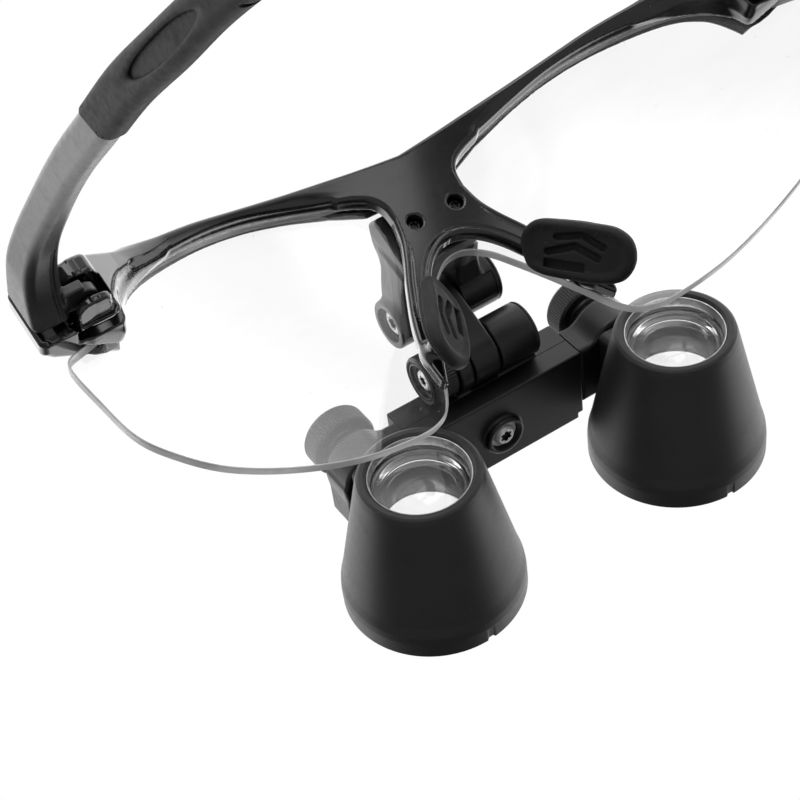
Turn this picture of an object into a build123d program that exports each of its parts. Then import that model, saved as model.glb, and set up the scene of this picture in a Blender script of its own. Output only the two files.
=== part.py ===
from build123d import *
from math import sin, cos, radians, sqrt
import os

# Dental loupes: flip-up magnifying barrels on a half-rim safety frame.
# Millimetres.  +X wearer's right, +Y forward, +Z up.
# Origin: midpoint between the nose pads, where the frame sits on the nose.

os.makedirs("parts", exist_ok=True)

# ---------------------------------------------------------------- dimensions
EYE_Y, EYE_Z = 15.5, -16.3     # midpoint of the two eyepiece faces
DECL = 20.0                    # barrels point this far below horizontal
PD = 56.0                      # distance between the barrel axes

# barrels
EYE_R = 11.3                   # eyepiece end, outer radius
OBJ_R = 16.9                   # objective end, outer radius
BARREL_L = 30.0
BORE_R = 9.3                   # eyepiece bore
SEAT_R = 15.0                  # objective seat
CAP_R = 15.4                   # open front bore, for a push-in cap or filter
CAP_D = 26.4                   # where that bore starts

# sliding bar
BAR_X = 18.8                   # half length
BAR_D0, BAR_D1 = 13.0, 29.9
BAR_N0, BAR_NS, BAR_N1 = 17.1, 21.7, 27.3
CAV_X = 19.5
TNG_D0, TNG_D1 = 17.0, 26.0    # arm tongue
TNG_N0, TNG_N1 = 19.2, 24.0
RUN = 0.05                     # running clearance

# pivots of the flip link
UP_D, UP_N = 2.3, 36.7
LOW_D, LOW_N = 7.6, 25.0
PIV_R = 5.4
PIV_HALF = 9.75
LINK_HALF = 3.0
TK_X = 12.0                     # outer face of the tilt knob

# arms and knobs
KNOB_D = 16.0
KNOB_R = 6.6
LOBE_R = 6.1
ARM_N0, ARM_N1 = 17.3, 24.8
STUD_R = 1.5

# lens and frame front, a spherical shell
LENS_R0, LENS_R1 = 119.0, 121.0
SPH_Y, SPH_Z = -124.0, 22.0    # sphere centre, from the eyepiece midpoint
FRAME_R0, FRAME_R1 = 115.5, 122.8

# temple hinge
HIN_X, HIN_Y = 69.5, -38.0
HIN_Z0, HIN_Z1 = 35.0, 47.0

# ---------------------------------------------------------------- frames
s, c = sin(radians(DECL)), cos(radians(DECL))
D = Vector(0, c, -s)           # along the barrels, forwards
N = Vector(0, s, c)            # up from the barrels
O = Vector(0, EYE_Y, EYE_Z)


def L(x, d, n):
    """Point from barrel coordinates."""
    return O + Vector(1, 0, 0) * x + D * d + N * n


def W(x, y, z):
    """Point from the eyepiece midpoint along the world axes."""
    return O + Vector(x, y, z)


def pn(n, x=0, d=0):
    """Plane facing N: local (x, d)."""
    return Plane(origin=L(x, d, n), x_dir=(1, 0, 0), z_dir=N)


def px(x, d=0, n=0):
    """Plane facing +X: local (d, n)."""
    return Plane(origin=L(x, d, n), x_dir=D, z_dir=(1, 0, 0))


def pd(d, x=0, n=0):
    """Plane facing -D: local (x, n); extrude a negative amount to go forwards."""
    return Plane(origin=L(x, d, n), x_dir=(1, 0, 0), z_dir=D * -1)


def front(y):
    """Plane facing -Y: local (x, z)."""
    return Plane(origin=W(0, y, 0), x_dir=(1, 0, 0), z_dir=(0, -1, 0))


def side(x):
    """Plane facing +X: local (y, z)."""
    return Plane(origin=W(x, 0, 0), x_dir=(0, 1, 0), z_dir=(1, 0, 0))


def top(z):
    """Plane facing +Z: local (x, y)."""
    return Plane(origin=W(0, 0, z), x_dir=(1, 0, 0), z_dir=(0, 0, 1))


def shell(r0, r1):
    """Spherical shell about the lens centre, as a private solid."""
    ctr = W(0, SPH_Y, SPH_Z)
    ball = Sphere(r1, mode=Mode.PRIVATE) - Sphere(r0, mode=Mode.PRIVATE)
    return Pos(ctr.X, ctr.Y, ctr.Z) * ball


def save(bp, name):
    bp.part.label = name
    export_step(bp.part, "parts/" + name + ".step")


# ---------------------------------------------------------------- optics
def revolve_piece(sgn, pts):
    with BuildPart() as bp:
        with BuildSketch(Plane(origin=L(sgn * PD / 2, 0, 0), x_dir=(1, 0, 0), z_dir=N)):
            with BuildLine():
                Polyline(*pts, close=True)
            make_face()
        revolve(axis=Axis(L(sgn * PD / 2, 0, 0), D))
    return bp


BARREL = [(BORE_R + 0.5, 0), (EYE_R - 0.7, 0), (EYE_R - 0.15, 0.35), (EYE_R + 0.2, 1.5),
          (16.2, 23.0), (16.7, 24.4), (OBJ_R, 25.6), (OBJ_R, BARREL_L - 0.5),
          (OBJ_R - 0.5, BARREL_L), (CAP_R + 0.5, BARREL_L), (CAP_R, BARREL_L - 0.5),
          (CAP_R, CAP_D), (SEAT_R, CAP_D), (SEAT_R, 21.5), (13.75, 21.5), (BORE_R, 5.2), (BORE_R, 0.5)]
EYE_RING = [(8.5, 1.0), (9.0, 0.5), (9.28, 0.5), (9.28, 2.4), (8.3, 2.4), (8.3, 1.6)]
EYE_LENS = [(0, 2.0), (5, 2.15), (8.29, 2.4), (9.28, 2.4), (9.28, 5.1), (0, 5.1)]
SPACER = [(8.4, 5.15), (9.22, 5.15), (13.65, 21.45), (12.85, 21.45)]
OBJ_LENS = [(0, 20.7), (8, 21.0), (12.8, 21.5), (14.97, 21.5), (14.97, 24.7), (13.0, 24.7), (8, 25.4), (0, 25.8)]
OBJ_RING = [(13.5, 24.8), (14.97, 24.8), (14.97, 26.3), (14.2, 26.3), (13.6, 25.9)]

for tag, sgn in (("left", -1), ("right", 1)):
    save(revolve_piece(sgn, BARREL), tag + "_barrel")
    save(revolve_piece(sgn, EYE_RING), tag + "_eyepiece_ring")
    save(revolve_piece(sgn, EYE_LENS), tag + "_eyepiece_lens")
    save(revolve_piece(sgn, SPACER), tag + "_lens_spacer")
    save(revolve_piece(sgn, OBJ_LENS), tag + "_objective_lens")
    save(revolve_piece(sgn, OBJ_RING), tag + "_objective_ring")

    # foot that carries the barrel under its arm, shaped to the barrel
    with BuildPart() as foot:
        with BuildSketch(pn(12.0)):
            with Locations((sgn * PD / 2, 17.5)):
                Rectangle(9.6, 13.0)
                fillet(vertices(), 1.5)
        extrude(amount=ARM_N0 - RUN - 12.0)
        with BuildSketch(Plane(origin=L(sgn * PD / 2, 0, 0), x_dir=(1, 0, 0), z_dir=N)):
            with BuildLine():
                Polyline((0, -1), (EYE_R + 0.22, 1.0), (EYE_R + 0.22, 1.5), (16.22, 23.0),
                         (16.72, 24.4), (OBJ_R + 0.02, 25.6), (OBJ_R + 0.02, 31), (0, 31), close=True)
            make_face()
        revolve(axis=Axis(L(sgn * PD / 2, 0, 0), D), mode=Mode.SUBTRACT)
        with BuildSketch(pn(10.0)):
            with Locations((sgn * PD / 2, KNOB_D)):
                Circle(STUD_R + 0.01)
        extrude(amount=12, mode=Mode.SUBTRACT)
    save(foot, tag + "_barrel_foot")

    # clamping stud, fixed in the foot
    with BuildPart() as stud:
        with BuildSketch(pn(15.2)):
            with Locations((sgn * PD / 2, KNOB_D)):
                Circle(STUD_R)
        extrude(amount=15.3)
        chamfer(stud.faces().sort_by(Axis(L(0, 0, 0), N))[-1].edges(), 0.3)
    save(stud, tag + "_clamp_stud")

    # knurled clamp knob
    with BuildPart() as knob:
        with BuildSketch(pn(ARM_N1 + RUN)):
            with Locations((sgn * PD / 2, KNOB_D)):
                Circle(4.3)
        extrude(amount=2.4)
        with BuildSketch(pn(ARM_N1 + 2.4)):
            with Locations((sgn * PD / 2, KNOB_D)):
                Circle(KNOB_R)
                with PolarLocations(KNOB_R + 0.12, 40):
                    Circle(0.32, mode=Mode.SUBTRACT)
        extrude(amount=5.0)
        with BuildSketch(pn(ARM_N1)):
            with Locations((sgn * PD / 2, KNOB_D)):
                Circle(STUD_R + RUN)
        extrude(amount=6.0, mode=Mode.SUBTRACT)
    save(knob, tag + "_knob")

    # sliding arm: tongue inside the bar, block and round lobe outside
    with BuildPart() as arm:
        with BuildSketch(pn(TNG_N0)):
            with Locations((sgn * (BAR_X + 3.2 + 2) / 2, (TNG_D0 + TNG_D1) / 2)):
                Rectangle(BAR_X - 3.2 + 2, TNG_D1 - TNG_D0)
        extrude(amount=TNG_N1 - TNG_N0)
        with BuildSketch(pn(ARM_N0)):
            with BuildLine():
                Polyline((sgn * (BAR_X + 0.1), 13.0), (sgn * 28, 13.0), (sgn * 28, 16.0),
                         (sgn * (28 + LOBE_R), 16.0), (sgn * (28 + LOBE_R), 25.5), (sgn * 32.6, 28.6),
                         (sgn * 26, 28.6), (sgn * 23, 26.6), (sgn * (BAR_X + 0.1), 26.6), close=True)
            make_face()
            with Locations((sgn * 28, KNOB_D)):
                Circle(LOBE_R)
        extrude(amount=ARM_N1 - ARM_N0)
        with BuildSketch(pn(ARM_N0 - 1)):
            with Locations((sgn * 28, KNOB_D)):
                Circle(STUD_R + RUN)
        extrude(amount=10, mode=Mode.SUBTRACT)
    save(arm, tag + "_arm")

# ---------------------------------------------------------------- bar
with BuildPart() as bar_housing:
    with BuildSketch(pn(BAR_NS)):
        with Locations((0, (BAR_D0 + BAR_D1) / 2)):
            Rectangle(2 * BAR_X, BAR_D1 - BAR_D0)
    extrude(amount=BAR_N1 - BAR_NS)
    fillet(bar_housing.edges().filter_by(lambda e: abs((e @ 0.5 - L(0, 0, 0)).dot(N) - BAR_N1) < 0.01), 0.8)
    # two lugs that hold the link's lower hub
    for x0, x1 in ((-6.1, -LINK_HALF - RUN), (LINK_HALF + RUN, PIV_HALF)):
        with BuildSketch(px(x0)):
            with Locations((LOW_D, LOW_N)):
                Circle(PIV_R)
            with BuildLine():
                Polyline((LOW_D, LOW_N - 2.9), (BAR_D0 + 2, BAR_NS + 0.4), (BAR_D0 + 2, BAR_N1 - 0.2),
                         (LOW_D, LOW_N + PIV_R), close=True)
            make_face()
        extrude(amount=x1 - x0)
    # keep the rear cover's side of the lugs clear
    with BuildSketch(px(-BAR_X - 1)):
        with Locations(((TNG_D0 + TNG_D1) / 2, (BAR_NS - 2 + TNG_N1 + RUN) / 2)):
            Rectangle(TNG_D1 - TNG_D0 + 2 * RUN, TNG_N1 + RUN - BAR_NS + 2)
    extrude(amount=2 * BAR_X + 2, mode=Mode.SUBTRACT)
    # post for the cover screw
    with BuildSketch(pn(BAR_NS)):
        with Locations((0, 22.5)):
            Circle(2.6)
    extrude(amount=3.5)
    with BuildSketch(pn(BAR_NS - 0.1)):
        with Locations((0, 22.5)):
            Circle(1.51)
    extrude(amount=4.2, mode=Mode.SUBTRACT)
    # pivot bore
    with BuildSketch(px(-12)):
        with Locations((LOW_D, LOW_N)):
            Circle(1.61)
    extrude(amount=12 + 7.5, mode=Mode.SUBTRACT)
save(bar_housing, "bar_housing")

with BuildPart() as bar_cover:
    with BuildSketch(pn(BAR_N0)):
        with Locations((0, (BAR_D0 + BAR_D1) / 2)):
            Rectangle(2 * BAR_X, BAR_D1 - BAR_D0)
    extrude(amount=BAR_NS - BAR_N0)
    fillet(bar_cover.edges().filter_by(lambda e: abs((e @ 0.5 - L(0, 0, 0)).dot(N) - BAR_N0) < 0.01), 0.8)
    with BuildSketch(px(-BAR_X - 1)):
        with Locations(((TNG_D0 + TNG_D1) / 2, (TNG_N0 - RUN + BAR_NS + 1) / 2)):
            Rectangle(TNG_D1 - TNG_D0 + 2 * RUN, BAR_NS + 1 - TNG_N0 + RUN)
    extrude(amount=2 * BAR_X + 2, mode=Mode.SUBTRACT)
    # boss and counterbore for the cover screw
    with BuildSketch(pn(BAR_N0 - 1.3)):
        with Locations((0, 22.5)):
            Circle(4.1)
    extrude(amount=1.3 + 2.0)
    with BuildSketch(pn(BAR_N0 - 1.3)):
        with Locations((0, 22.5)):
            Circle(3.2)
    extrude(amount=1.6, mode=Mode.SUBTRACT)
    with BuildSketch(pn(BAR_N0 - 2)):
        with Locations((0, 22.5)):
            Circle(1.6)
    extrude(amount=8, mode=Mode.SUBTRACT)
    # shallow pocket for the friction leaf
    with BuildSketch(pn(TNG_N0 - RUN - 0.55)):
        with Locations((0, 21.5)):
            Rectangle(27, 7.6)
    extrude(amount=0.6, mode=Mode.SUBTRACT)
save(bar_cover, "bar_cover")

# leaf that keeps the arms where they are put
with BuildPart() as friction_leaf:
    with BuildSketch(pn(TNG_N0 - RUN - 0.54)):
        with Locations((0, 21.5)):
            Rectangle(26.6, 7.2)
            fillet(vertices(), 1.0)
        with Locations((0, 22.5)):
            Circle(2.2, mode=Mode.SUBTRACT)
    extrude(amount=0.5)
save(friction_leaf, "friction_leaf")


def six_lobe(r):
    """Six-lobe socket profile, for the sketch in hand."""
    Circle(r * 0.72)
    with PolarLocations(r * 0.72, 6):
        Circle(r * 0.28)


with BuildPart() as cover_screw:
    with BuildSketch(pn(BAR_N0 - 1.35)):
        with Locations((0, 22.5)):
            Circle(2.5)
    extrude(amount=1.45)
    with BuildSketch(pn(BAR_N0)):
        with Locations((0, 22.5)):
            Circle(1.5)
    extrude(amount=8.4)
    with BuildSketch(Plane(origin=L(0, 22.5, BAR_N0 - 1.35), x_dir=(1, 0, 0), z_dir=N * -1)):
        six_lobe(1.3)
    extrude(amount=-0.9, mode=Mode.SUBTRACT)
save(cover_screw, "cover_screw")

with BuildPart() as cover_washer:
    with BuildSketch(pn(BAR_N0 + 0.1)):
        with Locations((0, 22.5)):
            Circle(3.1)
            Circle(1.6, mode=Mode.SUBTRACT)
    extrude(amount=0.2)
save(cover_washer, "cover_washer")

# ---------------------------------------------------------------- link
with BuildPart() as flip_link:
    with BuildSketch(px(-LINK_HALF)):
        with Locations((UP_D, UP_N), (LOW_D, LOW_N)):
            Circle(PIV_R - 0.05)
        with BuildLine():
            ang = Vector(LOW_D - UP_D, LOW_N - UP_N, 0).normalized()
            nx, ny = -ang.Y * (PIV_R - 0.05), ang.X * (PIV_R - 0.05)
            Polyline((UP_D + nx, UP_N + ny), (LOW_D + nx, LOW_N + ny),
                     (LOW_D - nx, LOW_N - ny), (UP_D - nx, UP_N - ny), close=True)
        make_face()
        with Locations((UP_D, UP_N), (LOW_D, LOW_N)):
            Circle(1.65, mode=Mode.SUBTRACT)
    extrude(amount=2 * LINK_HALF)
save(flip_link, "flip_link")

# lower pivot bolt with its knurled nut
with BuildPart() as tilt_bolt:
    with BuildSketch(px(-PIV_HALF - 0.1)):
        with Locations((LOW_D, LOW_N)):
            Circle(2.2)
    extrude(amount=1.2)
    with BuildSketch(px(-9)):
        with Locations((LOW_D, LOW_N)):
            Circle(1.6)
    extrude(amount=16.2)
    with BuildSketch(Plane(origin=L(-PIV_HALF - 0.1, LOW_D, LOW_N), x_dir=D, z_dir=(-1, 0, 0))):
        six_lobe(1.2)
    extrude(amount=-0.8, mode=Mode.SUBTRACT)
save(tilt_bolt, "tilt_bolt")

with BuildPart() as tilt_knob:
    with BuildSketch(px(-TK_X)):
        with Locations((LOW_D, LOW_N)):
            Circle(PIV_R - 0.1)
            with PolarLocations(PIV_R + 0.02, 30):
                Circle(0.32, mode=Mode.SUBTRACT)
    extrude(amount=TK_X - 6.1 - RUN)
    # stepped funnel down to the bolt head
    for r, depth in ((4.3, 0.6), (3.6, 1.2), (2.9, 2.2), (2.3, 3.5)):
        with BuildSketch(px(-TK_X)):
            with Locations((LOW_D, LOW_N)):
                Circle(r)
        extrude(amount=depth, mode=Mode.SUBTRACT)
    with BuildSketch(px(-TK_X)):
        with Locations((LOW_D, LOW_N)):
            Circle(1.65)
    extrude(amount=8, mode=Mode.SUBTRACT)
save(tilt_knob, "tilt_knob")

# ---------------------------------------------------------------- frame front
LENS_HALF = [(0, 31.0), (2.0, 30.7), (5.5, 28.3), (8.6, 24.2), (11.3, 20.0), (13.6, 16.0), (15.9, 11.5),
             (17.9, 7.6), (20.5, 4.6), (24, 3.1), (28, 2.6), (37, 2.7), (43, 3.5), (50, 5.0), (57, 7.0),
             (63, 9.3), (68, 12.5), (72.8, 17.0), (75.2, 24.6), (76.6, 31.6), (75.6, 33.2)]
LENS_TOP = [(65.2, 38.0), (60.5, 42.3), (54.7, 45.7), (43.6, 49.6), (33.5, 50.8), (24.5, 50.1), (16, 48.8), (0, 48.6)]
BROW_TOP = [(0, 50.8), (8, 51.5), (16, 52.1), (24, 52.4), (33.5, 52.5), (43, 52.1), (55, 50.0), (68, 47.4), (73.5, 46.2)]
BROW_LOW = [(65.0, 35.4), (63.6, 37.2), (61.5, 39.8), (58.7, 42.3), (54.7, 44.6), (43.6, 48.8), (33.5, 50.0),
            (24.5, 49.2), (16, 47.6), (9.5, 45.6), (7.6, 43.4)]
LEG_OUT = [(7.7, 40.4), (8.6, 36.5), (10.2, 33.0), (12.7, 28.5), (16.6, 20.4), (18.5, 14.0), (18.8, 9.5)]
LEG_IN = [(17.9, 7.8), (16.6, 10.4), (13.2, 17.2), (9.6, 24.6), (7.4, 28.2), (4.9, 30.9), (2.1, 32.5), (0, 32.9)]


def both(half):
    return half + [(-x, z) for x, z in reversed(half) if x > 0]


with BuildPart() as shield_lens:
    with BuildSketch(front(-60)):
        with BuildLine():
            Polyline(*both(LENS_HALF + LENS_TOP[:-1]), close=True)
        make_face()
    extrude(amount=-80)
    add(shell(LENS_R0, LENS_R1), mode=Mode.INTERSECT)
    with BuildSketch(front(-20)):
        with Locations((-4.3, 38.9), (4.3, 38.9)):
            Circle(1.6)
    extrude(amount=-30, mode=Mode.SUBTRACT)
save(shield_lens, "shield_lens")

with BuildPart() as front_frame:
    with BuildSketch(front(-60)):
        with BuildLine():
            Polyline(*both(BROW_TOP + [(73.0, 38.5), (70.0, 35.5)] + BROW_LOW[:-2] + [(9.5, 45.6)]), close=True)
        make_face()
    extrude(amount=-80)
    add(shell(FRAME_R0, FRAME_R1), mode=Mode.INTERSECT)
    # square off behind, where the temples butt
    with BuildSketch(top(20)):
        for sg in (-1, 1):
            with Locations((sg * 75, -45.9)):
                Rectangle(30, 20)
    extrude(amount=40, mode=Mode.SUBTRACT)
    # bridge plate and nose legs, behind the lens
    with BuildPart(mode=Mode.PRIVATE) as plate:
        with BuildSketch(front(-60)):
            with BuildLine():
                Polyline(*both([(0, 50.0), (16, 50.0), (9.5, 45.2), (7.6, 43.0)] + LEG_OUT + LEG_IN), close=True)
            make_face()
        extrude(amount=-80)
        add(shell(FRAME_R0, LENS_R0 - RUN), mode=Mode.INTERSECT)
    add(plate.part)
    # bridge screw holes with recessed heads
    with BuildSketch(front(-20)):
        with Locations((-4.3, 38.9), (4.3, 38.9)):
            Circle(1.31)
    extrude(amount=-30, mode=Mode.SUBTRACT)
    with BuildSketch(front(-20)):
        with Locations((-4.3, 38.9), (4.3, 38.9)):
            Circle(1.9)
    extrude(amount=-13.2, mode=Mode.SUBTRACT)
    # end pieces and hinge lobes
    for sg in (-1, 1):
        with BuildSketch(top(HIN_Z0)):
            with BuildLine():
                Polyline((sg * 64.4, -27.6), (sg * 66.4, -23.8), (sg * 73.0, -27.0), (sg * 79.0, -32.0),
                         (sg * 79.0, -35.9), (sg * 66.0, -35.9), (sg * 64.4, -32.0), close=True)
            make_face()
        extrude(amount=HIN_Z1 - HIN_Z0)
        for z0, z1 in ((HIN_Z0 + 0.6, HIN_Z0 + 3.6), (HIN_Z1 - 3.6, HIN_Z1 - 0.6)):
            with BuildSketch(top(z0)):
                with Locations((sg * HIN_X, HIN_Y)):
                    Circle(2.5)
                with Locations((sg * HIN_X, (HIN_Y - 35.0) / 2)):
                    Rectangle(5.0, 3.0)
            extrude(amount=z1 - z0)
        with BuildSketch(top(HIN_Z0 + 3.6)):
            with Locations((sg * HIN_X, HIN_Y)):
                Circle(2.8)
        extrude(amount=HIN_Z1 - HIN_Z0 - 7.2, mode=Mode.SUBTRACT)
        with BuildSketch(top(HIN_Z0 - 2)):
            with Locations((sg * HIN_X, HIN_Y)):
                Circle(0.91)
        extrude(amount=20, mode=Mode.SUBTRACT)
        # post that carries the nose pad
        with BuildSketch(top(11.5)):
            with BuildLine():
                Polyline((sg * 14.6, -8.2), (sg * 17.2, -8.6), (sg * 17.0, -15.0), (sg * 15.4, -15.6), close=True)
            make_face()
        extrude(amount=6.0)
    # slot for the lens
    with BuildPart(mode=Mode.PRIVATE) as slot_cut:
        with BuildSketch(front(-60)):
            with BuildLine():
                Polyline(*both([(0, 20), (90, 20), (90, 34.0), (76, 33.4)] + [(x, z + RUN) for x, z in LENS_TOP[:-1]]), close=True)
            make_face()
        extrude(amount=-80)
        add(shell(LENS_R0 - RUN, LENS_R1 + RUN), mode=Mode.INTERSECT)
    add(slot_cut.part, mode=Mode.SUBTRACT)
save(front_frame, "front_frame")

# ---------------------------------------------------------------- nose pads
for tag, sg in (("left", -1), ("right", 1)):
    nrm = Vector(-sg * 0.60, -0.80, 0.0)
    lng = Vector(sg * 0.36, -0.27, -0.89).normalized()
    pad_plane = Plane(origin=W(sg * 15.3, -15.5, 16.3) - nrm * 2.0, x_dir=lng, z_dir=nrm)
    with BuildPart() as pad:
        with BuildSketch(pad_plane):
            SlotOverall(20.0, 10.5)
        extrude(amount=4.2)
        fillet(pad.faces().sort_by(Axis(W(0, 0, 0), nrm))[-1].edges(), 1.2)
        with BuildSketch(top(11.4)):
            with BuildLine():
                Polyline((sg * 14.4, -8.0), (sg * 17.4, -8.4), (sg * 17.1, -15.1), (sg * 15.3, -15.7), close=True)
            make_face()
        extrude(amount=6.2, mode=Mode.SUBTRACT)
    save(pad, tag + "_nose_pad")

# ---------------------------------------------------------------- bracket
UPY, UPZ = UP_D * c + UP_N * s, -UP_D * s + UP_N * c
with BuildPart() as flip_bracket:
    with BuildSketch(side(-8.0)):
        with BuildLine():
            Polyline((-4.5, 33.2), (-4.5, 44.4), (-1.8, 46.2), (1.2, 44.6), (4.6, 41.0), (6.2, 34.6),
                     (1.0, 33.2), close=True)
        make_face()
    extrude(amount=16)
    for x0, x1 in ((-PIV_HALF, -LINK_HALF - RUN), (LINK_HALF + RUN, PIV_HALF)):
        with BuildSketch(side(x0)):
            with Locations((UPY, UPZ)):
                Circle(PIV_R if x0 > 0 else 4.8)
            with BuildLine():
                Polyline((0.5, 33.6), (0.5, 42.0), (4.6, 41.0), (UPY - 1.2, UPZ + 4.4), (UPY - 1.2, UPZ - 4.4),
                         (6.0, 33.6), close=True)
            make_face()
        extrude(amount=x1 - x0)
    # room for the link's hub
    with BuildSketch(side(-LINK_HALF - RUN)):
        with Locations((UPY, UPZ)):
            Circle(PIV_R + 0.6)
    extrude(amount=2 * (LINK_HALF + RUN), mode=Mode.SUBTRACT)
    add(shell(60, LENS_R1 + 0.02), mode=Mode.SUBTRACT)
    with BuildSketch(front(-20)):
        with Locations((-4.3, 38.9), (4.3, 38.9)):
            Circle(1.31)
    extrude(amount=-21.5, mode=Mode.SUBTRACT)
    with BuildSketch(side(-12)):
        with Locations((UPY, UPZ)):
            Circle(1.61)
    extrude(amount=12 + 7.5, mode=Mode.SUBTRACT)
    with BuildSketch(side(-12)):
        with Locations((UPY, UPZ)):
            Circle(3.4)
    extrude(amount=3.6, mode=Mode.SUBTRACT)
save(flip_bracket, "flip_bracket")

with BuildPart() as flip_bolt:
    with BuildSketch(side(-9.3)):
        with Locations((UPY, UPZ)):
            Circle(2.5)
    extrude(amount=0.88)
    with BuildSketch(side(-9)):
        with Locations((UPY, UPZ)):
            Circle(1.6)
    extrude(amount=16.2)
    with BuildSketch(Plane(origin=W(-9.3, UPY, UPZ), x_dir=(0, 1, 0), z_dir=(-1, 0, 0))):
        six_lobe(1.3)
    extrude(amount=-0.6, mode=Mode.SUBTRACT)
save(flip_bolt, "flip_bolt")

with BuildPart() as bridge_screws:
    with BuildSketch(front(-8.4)):
        with Locations((-4.3, 38.9), (4.3, 38.9)):
            Circle(1.8)
    extrude(amount=-1.6)
    with BuildSketch(front(-7.5)):
        with Locations((-4.3, 38.9), (4.3, 38.9)):
            Circle(1.3)
    extrude(amount=-8.6)
save(bridge_screws, "bridge_screws")

# ---------------------------------------------------------------- temples
# side outline (y, z) and plan outline (x, y)
T_TOP = [(-36.05, 47.2), (-45, 47.6), (-51, 47.0), (-64.5, 43.6), (-79.3, 38.7), (-94.4, 32.5), (-108, 27.0),
         (-121.7, 20.3), (-133.8, 14.3), (-146, 8.0), (-153, 3.5), (-156.5, 0.0)]
T_BOT = [(-157, -2.5), (-154, -4.0), (-143.5, 3.0), (-132.5, 8.8), (-120, 14.4), (-106.5, 20.9), (-93, 26.4),
         (-78.5, 32.4), (-64, 37.1), (-51, 40.0), (-43, 39.4), (-36.05, 36.8)]
P_OUT = [(79.0, -36.05), (78.2, -45), (77.0, -51), (74.6, -64.5), (72.7, -79.3), (71.0, -94.4), (69.2, -108),
         (67.2, -121.7), (65.1, -133.8), (62.3, -146), (59.8, -155)]
P_IN = [(57.2, -158), (56.2, -154), (58.7, -146), (61.3, -133.8), (63.4, -121.7), (65.4, -108), (67.1, -94.4),
        (68.7, -79.3), (70.2, -64.5), (71.6, -51), (72.2, -45), (72.4, -36.05)]
TIP_Y = -96.0
for tag, sg in (("left", -1), ("right", 1)):
    with BuildPart() as blank:
        with BuildSketch(side(50 if sg > 0 else -85)):
            with BuildLine():
                Polyline(*(T_TOP + T_BOT), close=True)
            make_face()
        extrude(amount=35)
        with BuildSketch(top(-20)):
            with BuildLine():
                Polyline(*[(sg * x, y) for x, y in P_OUT + P_IN], close=True)
            make_face()
        extrude(amount=90, mode=Mode.INTERSECT)
    with BuildPart() as temple:
        add(blank.part)
        # hinge eye
        with BuildSketch(top(HIN_Z0 + 3.65)):
            with Locations((sg * HIN_X, HIN_Y)):
                Circle(2.5)
            with BuildLine():
                Polyline((sg * HIN_X, HIN_Y - 2.5), (sg * 73.2, -41.6), (sg * 73.2, -36.6), (sg * HIN_X, -37.0), close=True)
            make_face()
        extrude(amount=HIN_Z1 - HIN_Z0 - 7.3)
        with BuildSketch(top(HIN_Z0)):
            with Locations((sg * HIN_X, HIN_Y)):
                Circle(0.95)
        extrude(amount=16, mode=Mode.SUBTRACT)
        with BuildSketch(top(-30)):
            with Locations((sg * 65, TIP_Y - 40)):
                Rectangle(60, 80)
        extrude(amount=100, mode=Mode.SUBTRACT)
        # core that the soft tip slides over
        with BuildSketch(Plane(origin=W(sg * 69.0, TIP_Y + 1.0, 29.0), x_dir=(1, 0, 0), z_dir=(sg * 0.125, 1, 0.40))):
            Rectangle(1.6, 2.6)
        extrude(amount=-12)
    save(temple, tag + "_temple")

    with BuildPart() as tip:
        add(blank.part)
        with BuildSketch(top(-30)):
            with Locations((sg * 65, TIP_Y + 39.98)):
                Rectangle(60, 80)
        extrude(amount=100, mode=Mode.SUBTRACT)
        with BuildSketch(Plane(origin=W(sg * 69.0, TIP_Y + 1.0, 29.0), x_dir=(1, 0, 0), z_dir=(sg * 0.125, 1, 0.40))):
            Rectangle(1.7, 2.7)
        extrude(amount=-12.1, mode=Mode.SUBTRACT)
    save(tip, tag + "_temple_tip")

with BuildPart() as hinge_pins:
    with BuildSketch(top(HIN_Z0 + 0.4)):
        with Locations((-HIN_X, HIN_Y), (HIN_X, HIN_Y)):
            Circle(0.9)
    extrude(amount=HIN_Z1 - HIN_Z0 - 0.8)
    with BuildSketch(top(HIN_Z1 - 0.55)):
        with Locations((-HIN_X, HIN_Y), (HIN_X, HIN_Y)):
            Circle(1.5)
    extrude(amount=0.5)
save(hinge_pins, "hinge_pins")
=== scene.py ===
import math

import bpy
import numpy as np
from mathutils import Matrix, Vector
from mathutils.geometry import delaunay_2d_cdt


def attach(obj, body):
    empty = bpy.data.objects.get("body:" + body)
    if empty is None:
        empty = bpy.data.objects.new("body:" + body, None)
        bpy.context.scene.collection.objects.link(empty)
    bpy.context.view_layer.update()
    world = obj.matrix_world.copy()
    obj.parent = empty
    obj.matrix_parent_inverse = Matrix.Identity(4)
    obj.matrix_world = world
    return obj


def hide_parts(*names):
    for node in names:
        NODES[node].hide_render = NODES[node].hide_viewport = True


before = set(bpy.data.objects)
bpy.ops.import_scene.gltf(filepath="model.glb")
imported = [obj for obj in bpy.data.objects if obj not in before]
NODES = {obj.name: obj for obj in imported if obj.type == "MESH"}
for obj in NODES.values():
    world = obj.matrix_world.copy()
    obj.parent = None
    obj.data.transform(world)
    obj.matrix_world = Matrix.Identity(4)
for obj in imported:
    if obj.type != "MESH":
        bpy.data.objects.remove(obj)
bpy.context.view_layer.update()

# Millimetres inside this script, metres in the scene.
# "eye" points are measured from the midpoint of the two eyepiece faces along the world axes,
# "bar" points are (x, d, n): across, forwards along the barrels, and up from them.
EYE = np.array([0.0, 15.5, -16.3])
S20, C20 = math.sin(math.radians(20)), math.cos(math.radians(20))
XA, DA, NA = np.array([1.0, 0, 0]), np.array([0, C20, -S20]), np.array([0, S20, C20])


def from_eye(p):
    return np.asarray(p, float) + EYE


def from_bar(p):
    p = np.asarray(p, float).reshape(-1, 3)
    return EYE + p[:, :1] * XA + p[:, 1:2] * DA + p[:, 2:] * NA


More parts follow.
